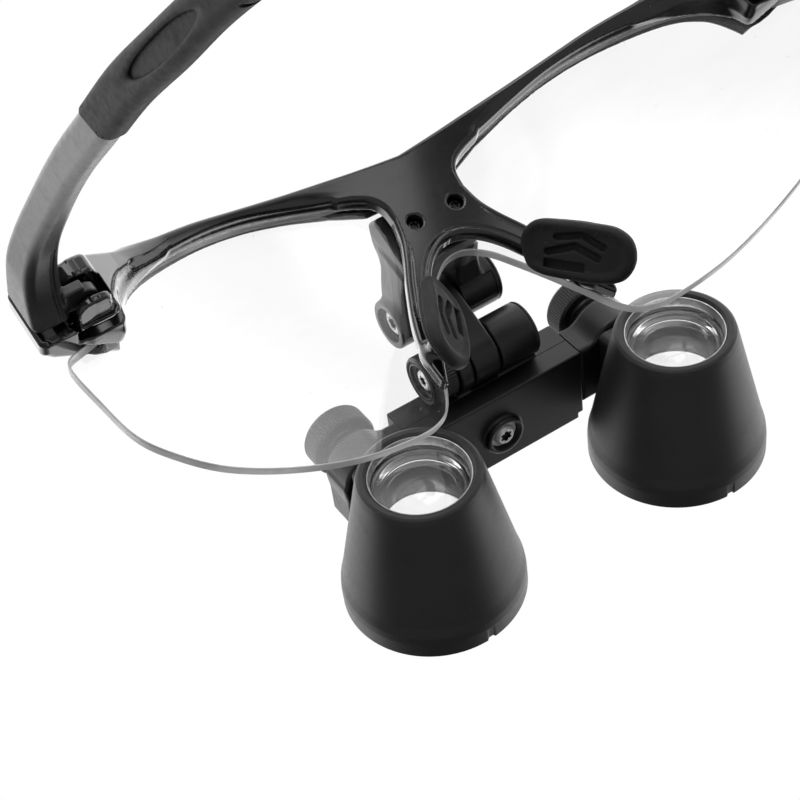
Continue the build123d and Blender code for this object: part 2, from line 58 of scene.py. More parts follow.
# =============================================================== mesh making
def signed_volume(p, f):
    a, b, c = p[f[:, 0]], p[f[:, 1]], p[f[:, 2]]
    v = np.einsum("ij,ij->i", a, np.cross(b, c)).sum()
    if f.shape[1] == 4:
        d = p[f[:, 3]]
        v += np.einsum("ij,ij->i", a, np.cross(c, d)).sum()
    return v


def make(name, p, f, body, mat, replaces=(), face_mat=None, mats=None, mirror=False, normals=None):
    """A mesh object from points in row millimetres and equal-sided faces (or a list of arrays of faces)."""
    p = np.array(p, float)
    fs = [np.array(a, np.int64) for a in (f if isinstance(f, list) else [f]) if len(a)]
    if mirror:
        p[:, 0] *= -1
        fs = [a[:, ::-1] for a in fs]
        if normals is not None:
            normals = normals * np.array([-1, 1, 1])
    me = bpy.data.meshes.new(name)
    me.vertices.add(len(p))
    me.vertices.foreach_set("co", (p * 0.001).astype(np.float32).ravel())
    loops = np.concatenate([a.ravel() for a in fs]).astype(np.int32)
    sizes = np.concatenate([np.full(len(a), a.shape[1], np.int32) for a in fs])
    starts = np.concatenate([[0], np.cumsum(sizes)[:-1]]).astype(np.int32)
    me.loops.add(len(loops))
    me.loops.foreach_set("vertex_index", loops)
    me.polygons.add(len(sizes))
    me.polygons.foreach_set("loop_start", starts)
    me.polygons.foreach_set("loop_total", sizes)
    for m in (mats or [mat]):
        me.materials.append(m)
    if face_mat is not None:
        me.polygons.foreach_set("material_index", np.asarray(face_mat, np.int32))
    me.polygons.foreach_set("use_smooth", np.ones(len(sizes), bool))
    me.update(calc_edges=True)
    if normals is not None:
        me.normals_split_custom_set_from_vertices([tuple(n) for n in normals])
    ob = bpy.data.objects.new(name, me)
    bpy.context.scene.collection.objects.link(ob)
    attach(ob, body)
    if replaces:
        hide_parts(*replaces)
    return ob


# --------------------------------------------------------------- solids from distances
def rmax(a, b, r):
    """Both, with the edge between them rounded to r."""
    return np.minimum(np.maximum(a, b) + r, 0) + np.hypot(np.maximum(a + r, 0), np.maximum(b + r, 0)) - r


def rmin(a, b, r):
    """Either, with the corner between them filled to r."""
    return -rmax(-a, -b, r)


def slab(v, a, b):
    return np.abs(v - (a + b) / 2) - (b - a) / 2


def cyl(u, v, cu, cv, r):
    return np.hypot(u - cu, v - cv) - r


def ramp(v, a, b):
    t = np.clip((v - a) / (b - a), 0, 1)
    return t * t * (3 - 2 * t)


def capsule(x, y, z, a, b, r0, r1=None):
    a, b = np.array(a, float), np.array(b, float)
    d = b - a
    t = np.clip(((x - a[0]) * d[0] + (y - a[1]) * d[1] + (z - a[2]) * d[2]) / (d @ d), 0, 1)
    r = r0 if r1 is None else r0 + (r1 - r0) * t
    return np.sqrt((x - a[0] - t * d[0]) ** 2 + (y - a[1] - t * d[1]) ** 2 + (z - a[2] - t * d[2]) ** 2) - r


def line2(u, v, pts):
    """Distance to an open run of straight lines in a plane."""
    best = None
    for (ax, ay), (bx, by) in zip(pts[:-1], pts[1:]):
        dx, dy = bx - ax, by - ay
        t = np.clip(((u - ax) * dx + (v - ay) * dy) / (dx * dx + dy * dy), 0, 1)
        d = np.hypot(u - ax - t * dx, v - ay - t * dy)
        best = d if best is None else np.minimum(best, d)
    return best


class Outline:
    """Signed distance to a closed outline, read from a fine table."""

    def __init__(self, pts, margin=3.0, pitch=0.16):
        p = np.array(pts, float)
        self.lo, hi = p.min(0) - margin, p.max(0) + margin
        self.h = pitch
        n = np.ceil((hi - self.lo) / pitch).astype(int) + 2
        u = (self.lo[0] + pitch * np.arange(n[0]))[:, None].astype(np.float32)
        v = (self.lo[1] + pitch * np.arange(n[1]))[None, :].astype(np.float32)
        best = np.full(n, 1e9, np.float32)
        inside = np.zeros(n, bool)
        for a, b in zip(p, np.roll(p, -1, 0)):
            d = b - a
            l2 = float(d @ d)
            if l2 < 1e-12:
                continue
            t = np.clip(((u - a[0]) * d[0] + (v - a[1]) * d[1]) / l2, 0, 1)
            best = np.minimum(best, (u - a[0] - t * d[0]) ** 2 + (v - a[1] - t * d[1]) ** 2)
            if abs(d[1]) > 1e-12:
                cross = ((v >= min(a[1], b[1])) & (v < max(a[1], b[1])))
                xs = a[0] + (v - a[1]) / d[1] * d[0]
                inside ^= cross & (u < xs)
        best = np.sqrt(best)
        self.t = np.where(inside, -best, best).astype(np.float32)
        self.n = n

    def __call__(self, u, v):
        u, v = np.broadcast_arrays(u, v)
        fu = np.clip((u - self.lo[0]) / self.h, 0, self.n[0] - 1.001)
        fv = np.clip((v - self.lo[1]) / self.h, 0, self.n[1] - 1.001)
        i, j = fu.astype(np.int64), fv.astype(np.int64)
        a, b = fu - i, fv - j
        t = self.t
        return (t[i, j] * (1 - a) * (1 - b) + t[i + 1, j] * a * (1 - b) + t[i, j + 1] * (1 - a) * b + t[i + 1, j + 1] * a * b)


def nets(f, lo, hi, h, rounds=3):
    """Closed mesh of the points where f is negative."""
    lo, hi = np.array(lo, float), np.array(hi, float)
    n = np.ceil((hi - lo) / h).astype(int) + 1
    ax = [lo[i] + h * np.arange(n[i]) for i in range(3)]
    v = np.empty(tuple(n), np.float32)
    step = max(1, int(3e6 / (n[1] * n[2])))
    for i in range(0, n[0], step):
        v[i:i + step] = f(ax[0][i:i + step, None, None], ax[1][None, :, None], ax[2][None, None, :])
    for sl in ((0,), (-1,), (slice(None), 0), (slice(None), -1), (slice(None), slice(None), 0), (slice(None), slice(None), -1)):
        v[sl] = np.maximum(v[sl], h * 0.5)
    s = v < 0
    c = np.zeros(tuple(n - 1), np.int8)
    for i in (0, 1):
        for j in (0, 1):
            for k in (0, 1):
                c += s[i:n[0] - 1 + i, j:n[1] - 1 + j, k:n[2] - 1 + k]
    act = (c > 0) & (c < 8)
    I = np.stack(np.nonzero(act), 1)
    idx = np.full(tuple(n - 1), -1, np.int64)
    idx[act] = np.arange(len(I))
    acc, cnt = np.zeros((len(I), 3)), np.zeros(len(I))
    for axis in range(3):
        for a in (0, 1):
            for b in (0, 1):
                o = np.zeros(3, int)
                o[(axis + 1) % 3], o[(axis + 2) % 3] = a, b
                q = o.copy()
                q[axis] = 1
                va = v[tuple((I + o).T)]
                vb = v[tuple((I + q).T)]
                m = (va < 0) != (vb < 0)
                t = np.where(m, va / np.where(m, va - vb, 1), 0)
                pos = np.tile(o.astype(float), (len(I), 1))
                pos[:, axis] = t
                acc += pos * m[:, None]
                cnt += m
    p = lo + (I + acc / cnt[:, None]) * h
    quads = []
    for axis in range(3):
        u, w = (axis + 1) % 3, (axis + 2) % 3
        s0, s1 = [None] * 3, [None] * 3
        s0[axis], s1[axis] = slice(0, n[axis] - 1), slice(1, n[axis])
        for k in (u, w):
            s0[k] = s1[k] = slice(1, n[k] - 1)
        a, b = s[tuple(s0)], s[tuple(s1)]
        g = np.stack(np.nonzero(a != b), 1)
        inside = a[tuple(g.T)]
        g[:, u] += 1
        g[:, w] += 1
        eu, ew = np.zeros(3, int), np.zeros(3, int)
        eu[u], ew[w] = 1, 1
        q = np.stack([idx[tuple((g - eu - ew).T)], idx[tuple((g - ew).T)], idx[tuple(g.T)], idx[tuple((g - eu).T)]], 1)
        q[~inside] = q[~inside][:, ::-1]
        quads.append(q)
    faces = np.concatenate(quads)
    e = 0.03
    for _ in range(rounds):
        d = f(p[:, 0], p[:, 1], p[:, 2])
        g = np.stack([(f(*(p + dx).T) - f(*(p - dx).T)) / (2 * e) for dx in np.eye(3) * e], 1)
        st = -(d / np.maximum((g * g).sum(1), 0.3))[:, None] * g
        ln = np.linalg.norm(st, axis=1)
        st *= np.minimum(1, 0.5 * h / np.maximum(ln, 1e-9))[:, None]
        p = p + st
    g = np.stack([f(*(p + dx).T) - f(*(p - dx).T) for dx in np.eye(3) * e * 2], 1)
    nor = g / np.maximum(np.linalg.norm(g, axis=1), 1e-9)[:, None]
    return p, faces, nor


def solid(name, f, lo, hi, h, body, mat, replaces=(), space="eye", both_sides=False, place=None):
    """A piece from a distance function. both_sides makes a left one (x < 0) and a right one from the right one's shape."""
    h = h * 1.0
    p, q, nor = nets(f, lo, hi, h)
    if place is not None:
        c, m = place
        p, nor = np.array(c) + p @ np.array(m), nor @ np.array(m)
    if space == "bar":
        m = np.stack([XA, DA, NA])
        p, nor = EYE + p @ m, nor @ m
    else:
        p = p + EYE
    if signed_volume(p[:, :], q) < 0:
        q = q[:, ::-1]
    if not both_sides:
        return make(name, p, q, body, mat, replaces, normals=nor)
    out = []
    for tag, flip in (("right_", False), ("left_", True)):
        out.append(make(tag + name, p, q, (tag + body) if body != "frame" else body, mat,
                        [tag + r for r in replaces], mirror=flip, normals=nor.copy()))
    return out


# --------------------------------------------------------------- turned pieces
def rounded(pts, closed=True, n=4, ends=0.12):
    """A profile of (r, h, corner radius) with its corners rounded and a ring of points close to each corner."""
    out = []
    k = len(pts)
    P = [np.array(q[:2], float) for q in pts]
    R = [q[2] if len(q) > 2 else 0.0 for q in pts]
    for i in range(k):
        p = P[i]
        if not closed and i in (0, k - 1):
            out.append(p)
            continue
        a, b = P[i - 1] - p, P[(i + 1) % k] - p
        la, lb = np.linalg.norm(a), np.linalg.norm(b)
        a, b = a / la, b / lb
        ang = math.acos(max(-1, min(1, float(a @ b))))
        if R[i] <= 0 or ang > math.pi - 0.02:
            out.append(p)
            continue
        t = min(R[i] / math.tan(ang / 2), 0.46 * la, 0.46 * lb)
        r = t * math.tan(ang / 2)
        c = p + (a + b) / np.linalg.norm(a + b) * (r / math.sin(ang / 2))
        s, e = p + a * t - c, p + b * t - c
        if la - t > 2.5 * ends:
            out.append(p + a * (t + ends))
        a0, a1 = math.atan2(s[1], s[0]), math.atan2(e[1], e[0])
        dlt = (a1 - a0 + math.pi) % (2 * math.pi) - math.pi
        for m in range(n + 1):
            th = a0 + dlt * m / n
            out.append(c + r * np.array([math.cos(th), math.sin(th)]))
        if lb - t > 2.5 * ends:
            out.append(p + b * (t + ends))
    return np.array(out)


def lathe(prof, segs, shape=None, angles=None):
    """Turns a closed profile, or one that starts and ends on the axis, about the h axis. shape(r, h, angle) may change r and h."""
    prof = np.array(prof, float)
    th = np.linspace(0, 2 * math.pi, segs, endpoint=False) if angles is None else np.array(angles)
    segs = len(th)
    pole0, pole1 = prof[0, 0] < 1e-6, prof[-1, 0] < 1e-6
    pts, rings = [], []
    for r, hh in prof:
        if r < 1e-6:
            rings.append([len(pts)])
            pts.append((0, 0, hh))
            continue
        rr, h2 = np.full(segs, r), np.full(segs, hh)
        if shape is not None:
            rr, h2 = shape(rr, h2, th)
        rings.append(list(range(len(pts), len(pts) + segs)))
        pts.extend(zip(rr * np.cos(th), rr * np.sin(th), h2))
    quads, tris = [], []
    order = list(range(len(rings)))
    pairs = list(zip(order[:-1], order[1:]))
    if not (pole0 and pole1):
        pairs.append((order[-1], order[0]))
    for i, j in pairs:
        a, b = rings[i], rings[j]
        for m in range(segs):
            k = (m + 1) % segs
            if len(a) == 1:
                tris.append((a[0], b[k], b[m]))
            elif len(b) == 1:
                tris.append((a[m], a[k], b[0]))
            else:
                quads.append((a[m], a[k], b[k], b[m]))
    p = np.array(pts)
    fs = [np.array(quads)]
    v = signed_volume(p, fs[0])
    if tris:
        fs.append(np.array(tris))
        v += signed_volume(p, fs[1])
    if v < 0:
        fs = [a[:, ::-1] for a in fs]
    return p, fs


def turned(name, prof, segs, centre, axis, body, mat, replaces=(), slot=None, shape=None, angles=None, mirror=False, up=None):
    """A turned piece: centre in row millimetres, h along axis. Angle 0 lies along up."""
    p, fs = lathe(prof, segs, shape, angles)
    a = np.array(axis, float) / np.linalg.norm(axis)
    u = np.array(up if up is not None else (NA if abs(a @ NA) < 0.9 else XA), float)
    u = u - (u @ a) * a
    u /= np.linalg.norm(u)
    w = np.cross(a, u)
    q = np.array(centre, float) + p[:, :1] * u + p[:, 1:2] * w + p[:, 2:] * a
    return make(name, q, fs, body, mat, replaces, mirror=mirror)


def screw_head(name, centre, axis, r, high, sock, deep, body, mat, replaces=(), dome=0.25, shank=0.0, shank_r=1.0):
    """A six-lobe button head whose top is at centre, facing along axis, with a plain shank behind it."""
    rings = [("p", -deep - 0.1), (0.35, -deep - 0.04), (0.9, -deep), (0.99, -deep + 0.03), (1.0, -deep + 0.12), (1.0, -0.14), (1.02, -0.06), (1.07, 0.0)]
    rest = [(sock + (r - sock) * 0.45, -0.02), (r - 0.42, -dome * 0.45), (r - 0.2, -dome * 0.9), (r - 0.06, -dome - 0.2), (r, -dome - 0.4),
            (r, -high + 0.12), (r - 0.1, -high)]
    rest += [(shank_r + 0.05, -high), (shank_r, -high - 0.05), (shank_r, -high - shank + 0.2), (shank_r - 0.2, -high - shank), (0, -high - shank)] if shank else [(0, -high)]
    segs = 96
    th = np.linspace(0, 2 * math.pi, segs, endpoint=False)
    lobe = sock * (0.855 + 0.145 * np.cos(6 * th) - 0.02 * np.cos(12 * th))
    pts = [(0, 0, rings[0][1])]
    loops = [[0]]
    for k, hh in rings[1:]:
        loops.append(list(range(len(pts), len(pts) + segs)))
        rr = lobe * k
        pts.extend(zip(rr * np.cos(th), rr * np.sin(th), np.full(segs, hh)))
    for rr, hh in rest:
        if rr == 0:
            loops.append([len(pts)])
            pts.append((0, 0, hh))
            continue
        loops.append(list(range(len(pts), len(pts) + segs)))
        pts.extend(zip(rr * np.cos(th), rr * np.sin(th), np.full(segs, hh)))
    quads, tris = [], []
    qm, tm = [], []
    for j, (a, b) in enumerate(zip(loops[:-1], loops[1:])):
        # faces inside the six-lobe socket take the dark socket metal: painted shade standing in for the recess's own
        # shadow
        socket_shade = 1 if j < len(rings) - 3 else 0
        (tm if 1 in (len(a), len(b)) else qm).extend([socket_shade] * segs)
        for m in range(segs):
            k = (m + 1) % segs
            if len(a) == 1:
                tris.append((a[0], b[m], b[k]))
            elif len(b) == 1:
                tris.append((a[k], a[m], b[0]))
            else:
                quads.append((a[k], a[m], b[m], b[k]))
    p = np.array(pts, float)
    fs = [np.array(quads), np.array(tris)]
    if signed_volume(p, fs[0]) + signed_volume(p, fs[1]) < 0:
        fs = [a[:, ::-1] for a in fs]
    a = np.array(axis, float) / np.linalg.norm(axis)
    u = np.array([0.3, 0.5, 0.8])
    u = u - (u @ a) * a
    u /= np.linalg.norm(u)
    w = np.cross(a, u)
    q = np.array(centre, float) + p[:, :1] * u + p[:, 1:2] * w + p[:, 2:] * a
    ob = make(name, q, fs, body, mat, replaces, face_mat=qm + tm, mats=[mat, SOCKET_SHADE])
    mark_sharp(ob, 38)
    return ob


def mark_sharp(ob, deg):
    """Faces that meet at more than deg stay crisp."""
    me = ob.data
    nf = len(me.polygons)
    nor = np.zeros(nf * 3)
    me.polygons.foreach_get("normal", nor)
    nor = nor.reshape(-1, 3)
    ne = len(me.edges)
    loops = np.zeros(len(me.loops), np.int64)
    me.loops.foreach_get("edge_index", loops)
    tot = np.zeros(nf, np.int64)
    me.polygons.foreach_get("loop_total", tot)
    face = np.repeat(np.arange(nf), tot)
    order = np.argsort(loops, kind="stable")
    le, lf = loops[order], face[order]
    first = np.searchsorted(le, np.arange(ne))
    last = np.searchsorted(le, np.arange(ne), side="right") - 1
    cosv = np.einsum("ij,ij->i", nor[lf[first]], nor[lf[last]])
    sharp = cosv < math.cos(math.radians(deg))
    att = me.attributes.get("sharp_edge") or me.attributes.new("sharp_edge", "BOOLEAN", "EDGE")
    att.data.foreach_set("value", sharp)


def curve(pts, n=7):
    """A smooth line through the points."""
    p = [np.array(q, float) for q in pts]
    p = [2 * p[0] - p[1]] + p + [2 * p[-1] - p[-2]]
    out = []
    for i in range(1, len(p) - 2):
        p0, p1, p2, p3 = p[i - 1:i + 3]
        d1, d2, d3 = (max(np.linalg.norm(b - a), 1e-6) ** 0.5 for a, b in ((p0, p1), (p1, p2), (p2, p3)))
        m1 = (p1 - p0) / d1 - (p2 - p0) / (d1 + d2) + (p2 - p1) / d2
        m2 = (p2 - p1) / d2 - (p3 - p1) / (d2 + d3) + (p3 - p2) / d3
        m1, m2 = m1 * d2, m2 * d2
        for k in range(n):
            t = k / n
            out.append((2 * t ** 3 - 3 * t ** 2 + 1) * p1 + (t ** 3 - 2 * t ** 2 + t) * m1 + (-2 * t ** 3 + 3 * t ** 2) * p2 + (t ** 3 - t ** 2) * m2)
    out.append(p[-2])
    return [tuple(q) for q in out]


def mirrored(half):
    return list(half) + [(-x, z) for x, z in reversed(list(half)) if x > 1e-6]


# =============================================================== materials
def node_mat(name):
    m = bpy.data.materials.new(name)
    m.use_nodes = True
    nt = m.node_tree
    b = nt.nodes["Principled BSDF"]
    return m, nt, b


def add(nt, kind, **kw):
    n = nt.nodes.new(kind)
    for k, v in kw.items():
        setattr(n, k, v)
    return n


def mm_coords(nt, stretch=(1, 1, 1)):
    tc = add(nt, "ShaderNodeTexCoord")
    mp = add(nt, "ShaderNodeMapping")
    mp.inputs["Scale"].default_value = tuple(1000 * s for s in stretch)
    nt.links.new(tc.outputs["Object"], mp.inputs["Vector"])
    return mp.outputs["Vector"]


def noise(nt, vec, scale, detail=3, rough=0.5):
    n = add(nt, "ShaderNodeTexNoise")
    n.inputs["Scale"].default_value = scale
    n.inputs["Detail"].default_value = detail
    n.inputs["Roughness"].default_value = rough
    nt.links.new(vec, n.inputs["Vector"])
    return n.outputs["Fac"]


def remap(nt, val, a, b, c, d, smooth=True):
    n = add(nt, "ShaderNodeMapRange", interpolation_type="SMOOTHSTEP" if smooth else "LINEAR")
    n.inputs["From Min"].default_value, n.inputs["From Max"].default_value = a, b
    n.inputs["To Min"].default_value, n.inputs["To Max"].default_value = c, d
    nt.links.new(val, n.inputs["Value"])
    return n.outputs["Result"]


def mathn(nt, op, a, b=None):
    n = add(nt, "ShaderNodeMath", operation=op)
    for i, v in enumerate((a, b)):
        if v is None:
            continue
        if isinstance(v, (int, float)):
            n.inputs[i].default_value = v
        else:
            nt.links.new(v, n.inputs[i])
    return n.outputs[0]


def mixc(nt, fac, a, b):
    n = add(nt, "ShaderNodeMix", data_type="RGBA")
    nt.links.new(fac, n.inputs["Factor"])
    for k, v in (("A", a), ("B", b)):
        s = [i for i in n.inputs if i.name == k and i.type == "RGBA"][0]
        if isinstance(v, tuple):
            s.default_value = (*v, 1)
        else:
            nt.links.new(v, s)
    return [o for o in n.outputs if o.type == "RGBA"][0]


def bump(nt, b, height, strength, dist_mm, chain=None):
    n = add(nt, "ShaderNodeBump")
    n.inputs["Strength"].default_value = strength
    n.inputs["Distance"].default_value = dist_mm * 0.001
    nt.links.new(height, n.inputs["Height"])
    if chain is not None:
        nt.links.new(chain, n.inputs["Normal"])
    nt.links.new(n.outputs["Normal"], b.inputs["Normal"])
    return n.outputs["Normal"]


def moulded(name, dark, light, rough, grain=5.0, grain_mm=0.006, wave_mm=0.02, spread=0.06, coat=0.0, coat_rough=0.05, dust=0.25, edge=0.5, spec=0.5, sheen=0.0):
    """Moulded plastic or a moulded coating: grain, a slow ripple, handling marks, worn edges and settled dust."""
    m, nt, b = node_mat(name)
    v = mm_coords(nt)
    slow = noise(nt, v, 0.11, 3)
    mid = noise(nt, v, 0.9, 4, 0.6)
    fine = noise(nt, v, grain, 2, 0.6)
    # handling marks: long faint smears
    vs = mm_coords(nt, (0.25, 0.9, 0.5))
    smear = remap(nt, noise(nt, vs, 0.35, 5, 0.65), 0.52, 0.72, 0, 1)
    col = mixc(nt, remap(nt, slow, 0.3, 0.7, 0, 1), dark, light)
    # worn edges, a little paler
    geo = add(nt, "ShaderNodeNewGeometry")
    worn = mathn(nt, "MULTIPLY", remap(nt, geo.outputs["Pointiness"], 0.53, 0.62, 0, 1), remap(nt, mid, 0.35, 0.65, 0.2, 1))
    worn = mathn(nt, "MULTIPLY", worn, edge)
    pale = tuple(min(1, c * 2.2 + 0.012) for c in light)
    col = mixc(nt, worn, col, pale)
    # dust specks
    vo = add(nt, "ShaderNodeTexVoronoi", feature="F1")
    vo.inputs["Scale"].default_value = 0.62
    nt.links.new(v, vo.inputs["Vector"])
    speck = remap(nt, vo.outputs["Distance"], 0.02, 0.055, 1, 0)
    pick = remap(nt, noise(nt, v, 0.45, 1), 0.56, 0.62, 0, dust)
    speck = mathn(nt, "MULTIPLY", speck, pick)
    col = mixc(nt, speck, col, (0.35, 0.35, 0.35))
    nt.links.new(col, b.inputs["Base Color"])
    r = mathn(nt, "ADD", remap(nt, mid, 0.25, 0.75, rough - spread * 0.5, rough + spread * 0.5), mathn(nt, "MULTIPLY", smear, spread))
    r = mathn(nt, "ADD", r, mathn(nt, "MULTIPLY", speck, 0.4))
    nt.links.new(r, b.inputs["Roughness"])
    b.inputs["Specular IOR Level"].default_value = spec
    n1 = bump(nt, b, mid, 0.5, wave_mm)
    bump(nt, b, fine, 0.8, grain_mm, n1)
    if coat:
        b.inputs["Coat Weight"].default_value = coat
        b.inputs["Coat Roughness"].default_value = coat_rough
    if sheen:
        b.inputs["Sheen Weight"].default_value = sheen
        b.inputs["Sheen Roughness"].default_value = 0.4
    return m


def metal(name, base, rough, rings=26.0, ring_mm=0.004, aniso=0.3, dark=0.0, metallic=1.0):
    """Turned metal: rings left by the tool, fine scratches and slight dulling."""
    m, nt, b = node_mat(name)
    b.inputs["Metallic"].default_value = metallic
    v = mm_coords(nt)
    tc = add(nt, "ShaderNodeTexCoord")
    sub = add(nt, "ShaderNodeVectorMath", operation="SUBTRACT")
    sub.inputs[1].default_value = (0.5, 0.5, 0.5)
    nt.links.new(tc.outputs["Generated"], sub.inputs[0])
    ln = add(nt, "ShaderNodeVectorMath", operation="LENGTH")
    nt.links.new(sub.outputs[0], ln.inputs[0])
    wobble = noise(nt, v, 2.2, 3)
    ph = mathn(nt, "ADD", mathn(nt, "MULTIPLY", ln.outputs["Value"], rings * 6.28), mathn(nt, "MULTIPLY", wobble, 2.0))
    ring = mathn(nt, "SINE", ph)
    scratch = noise(nt, mm_coords(nt, (1, 9, 2)), 3.0, 4, 0.7)
    stain = remap(nt, noise(nt, v, 0.8, 3), 0.35, 0.7, 0, 1)
    lo = tuple(c * (0.72 - dark) for c in base)
    col = mixc(nt, stain, base, lo)
    nt.links.new(col, b.inputs["Base Color"])
    r = mathn(nt, "ADD", remap(nt, scratch, 0.3, 0.7, rough - 0.07, rough + 0.1), mathn(nt, "MULTIPLY", stain, 0.06))
    nt.links.new(r, b.inputs["Roughness"])
    n1 = bump(nt, b, ring, 0.6, ring_mm)
    bump(nt, b, scratch, 0.35, 0.004, n1)
    b.inputs["Anisotropic"].default_value = aniso
    return m


def clear_sheet(name, tint=(0.985, 0.985, 0.985), haze=0.03, ior=1.52, boost=1.0):
    """Clear sheet seen through: a coated surface whose shine grows at a slant, faint wiping marks, light haze."""
    m, nt, b = node_mat(name)
    nt.nodes.remove(b)
    out = nt.nodes["Material Output"]
    v = mm_coords(nt)
    wipes = noise(nt, mm_coords(nt, (0.5, 0.5, 1.6)), 0.12, 5, 0.7)
    dustn = noise(nt, v, 1.1, 2)
    tr = add(nt, "ShaderNodeBsdfTransparent")
    nt.links.new(mixc(nt, remap(nt, wipes, 0.4, 0.75, 0, 0.5), tint, tuple(c * 0.985 for c in tint)), tr.inputs["Color"])
    gl = add(nt, "ShaderNodeBsdfGlossy")
    nt.links.new(remap(nt, wipes, 0.35, 0.75, 0.015, 0.09), gl.inputs["Roughness"])
    gl.inputs["Color"].default_value = (1, 1, 1, 1)
    fr = add(nt, "ShaderNodeFresnel")
    side = add(nt, "ShaderNodeNewGeometry")
    nt.links.new(remap(nt, side.outputs["Backfacing"], 0, 1, ior, 1 / ior, False), fr.inputs["IOR"])
    fac = mathn(nt, "MULTIPLY", fr.outputs["Fac"], boost)
    fac = mathn(nt, "MINIMUM", fac, 0.9)
    mx = add(nt, "ShaderNodeMixShader")
    nt.links.new(fac, mx.inputs[0])
    nt.links.new(tr.outputs[0], mx.inputs[1])
    nt.links.new(gl.outputs[0], mx.inputs[2])
    df = add(nt, "ShaderNodeBsdfDiffuse")
    df.inputs["Color"].default_value = (0.9, 0.9, 0.9, 1)
    specks = mathn(nt, "MULTIPLY", remap(nt, dustn, 0.70, 0.78, 0, 0.25), remap(nt, wipes, 0.5, 0.6, 0, 1))
    hz = mathn(nt, "ADD", specks, remap(nt, wipes, 0.3, 0.8, haze * 0.4, haze * 1.6))
    mh = add(nt, "ShaderNodeMixShader")
    nt.links.new(hz, mh.inputs[0])
    nt.links.new(mx.outputs[0], mh.inputs[1])
    nt.links.new(df.outputs[0], mh.inputs[2])
    nt.links.new(mh.outputs[0], out.inputs["Surface"])
    return m


def frosted_edge_shade(name, col=(0.62, 0.62, 0.63), rough=0.35):
    """Cut and polished edge of a clear sheet: pale grey as painted shade standing in for light bending at the rim,
    half clear, with fine saw lines.
    """
    m, nt, b = node_mat(name)
    v = mm_coords(nt)
    lines = noise(nt, mm_coords(nt, (1, 6, 1)), 1.6, 4, 0.6)
    slow = noise(nt, v, 0.09, 3)
    # painted shade: the grey tone stands in for the darkening where light bends at the cut rim; the saw lines are real
    nt.links.new(mixc(nt, remap(nt, slow, 0.35, 0.65, 0, 1), tuple(c * 0.72 for c in col), tuple(min(1, c * 1.15) for c in col)), b.inputs["Base Color"])
    nt.links.new(remap(nt, lines, 0.3, 0.7, rough - 0.12, rough + 0.1), b.inputs["Roughness"])
    b.inputs["Transmission Weight"].default_value = 0.12
    b.inputs["IOR"].default_value = 1.5
    b.inputs["Subsurface Weight"].default_value = 0.0
    bump(nt, b, lines, 0.4, 0.02)
    return m


def optical(name, ior=1.62):
    """Coated optical glass, with a trace of dust."""
    m, nt, b = node_mat(name)
    v = mm_coords(nt)
    b.inputs["Transmission Weight"].default_value = 1.0
    b.inputs["Specular IOR Level"].default_value = 0.2
    b.inputs["IOR"].default_value = ior
    sm = noise(nt, v, 0.25, 4, 0.7)
    nt.links.new(mixc(nt, remap(nt, sm, 0.4, 0.7, 0, 1), (0.985, 0.985, 0.985), (0.962, 0.962, 0.962)), b.inputs["Base Color"])
    nt.links.new(remap(nt, sm, 0.45, 0.75, 0.0, 0.03), b.inputs["Roughness"])
    return m


GLOSS = moulded("gloss_black", (0.0042, 0.0042, 0.0045), (0.0075, 0.0075, 0.008), 0.15, grain=7, grain_mm=0.0004, wave_mm=0.003, spread=0.05, coat=0.6, coat_rough=0.1, dust=0.5, edge=0.25)
TEMPLE = moulded("temple_black", (0.020, 0.020, 0.0205), (0.028, 0.028, 0.0285), 0.34, grain=6, grain_mm=0.0015, wave_mm=0.01, spread=0.08, coat=0.15, coat_rough=0.2, dust=0.3, edge=0.3)
SATIN = moulded("satin_black", (0.0055, 0.0055, 0.0058), (0.009, 0.009, 0.0094), 0.38, grain=4.5, grain_mm=0.006, wave_mm=0.01, spread=0.08, dust=0.4, edge=0.5)
BARREL = moulded("barrel_black", (0.0085, 0.0085, 0.009), (0.012, 0.012, 0.0125), 0.44, grain=5.5, grain_mm=0.004, wave_mm=0.006, spread=0.05, dust=0.35, edge=0.3)
INNER = moulded("inner_black", (0.012, 0.012, 0.0124), (0.018, 0.018, 0.0185), 0.6, grain=6, grain_mm=0.003, wave_mm=0.01, dust=0.0, edge=0.0)
RUBBER = moulded("soft_rubber", (0.005, 0.005, 0.0052), (0.0085, 0.0085, 0.0088), 0.6, grain=4.0, grain_mm=0.012, wave_mm=0.02, spread=0.1, dust=0.5, edge=0.5, spec=0.3, sheen=0.01)
STEEL = metal("steel", (0.95, 0.95, 0.945), 0.38, ring_mm=0.002, metallic=0.45)
BLACK_STEEL = metal("black_steel", (0.06, 0.06, 0.062), 0.28)
# dark metal for the inside of screw sockets: painted shade for the recess, the screws being one steel throughout
SOCKET_SHADE = metal("screw_socket_painted_shade", (0.05, 0.05, 0.05), 0.4)
SPRING = metal("spring_leaf", (0.62, 0.6, 0.56), 0.3, rings=0)
RING = metal("ring_grey", (0.66, 0.66, 0.67), 0.38, rings=3, ring_mm=0.006, aniso=0.5)
SHIELD = clear_sheet("clear_shield", tint=(0.995, 0.995, 0.995), haze=0.012, boost=1.1)
# the lens rim's grey is painted shade for light bending at the edge
SHIELD_EDGE = frosted_edge_shade("clear_shield_edge_shade", (0.52, 0.52, 0.525), 0.4)
GLASS = optical("optical_glass")

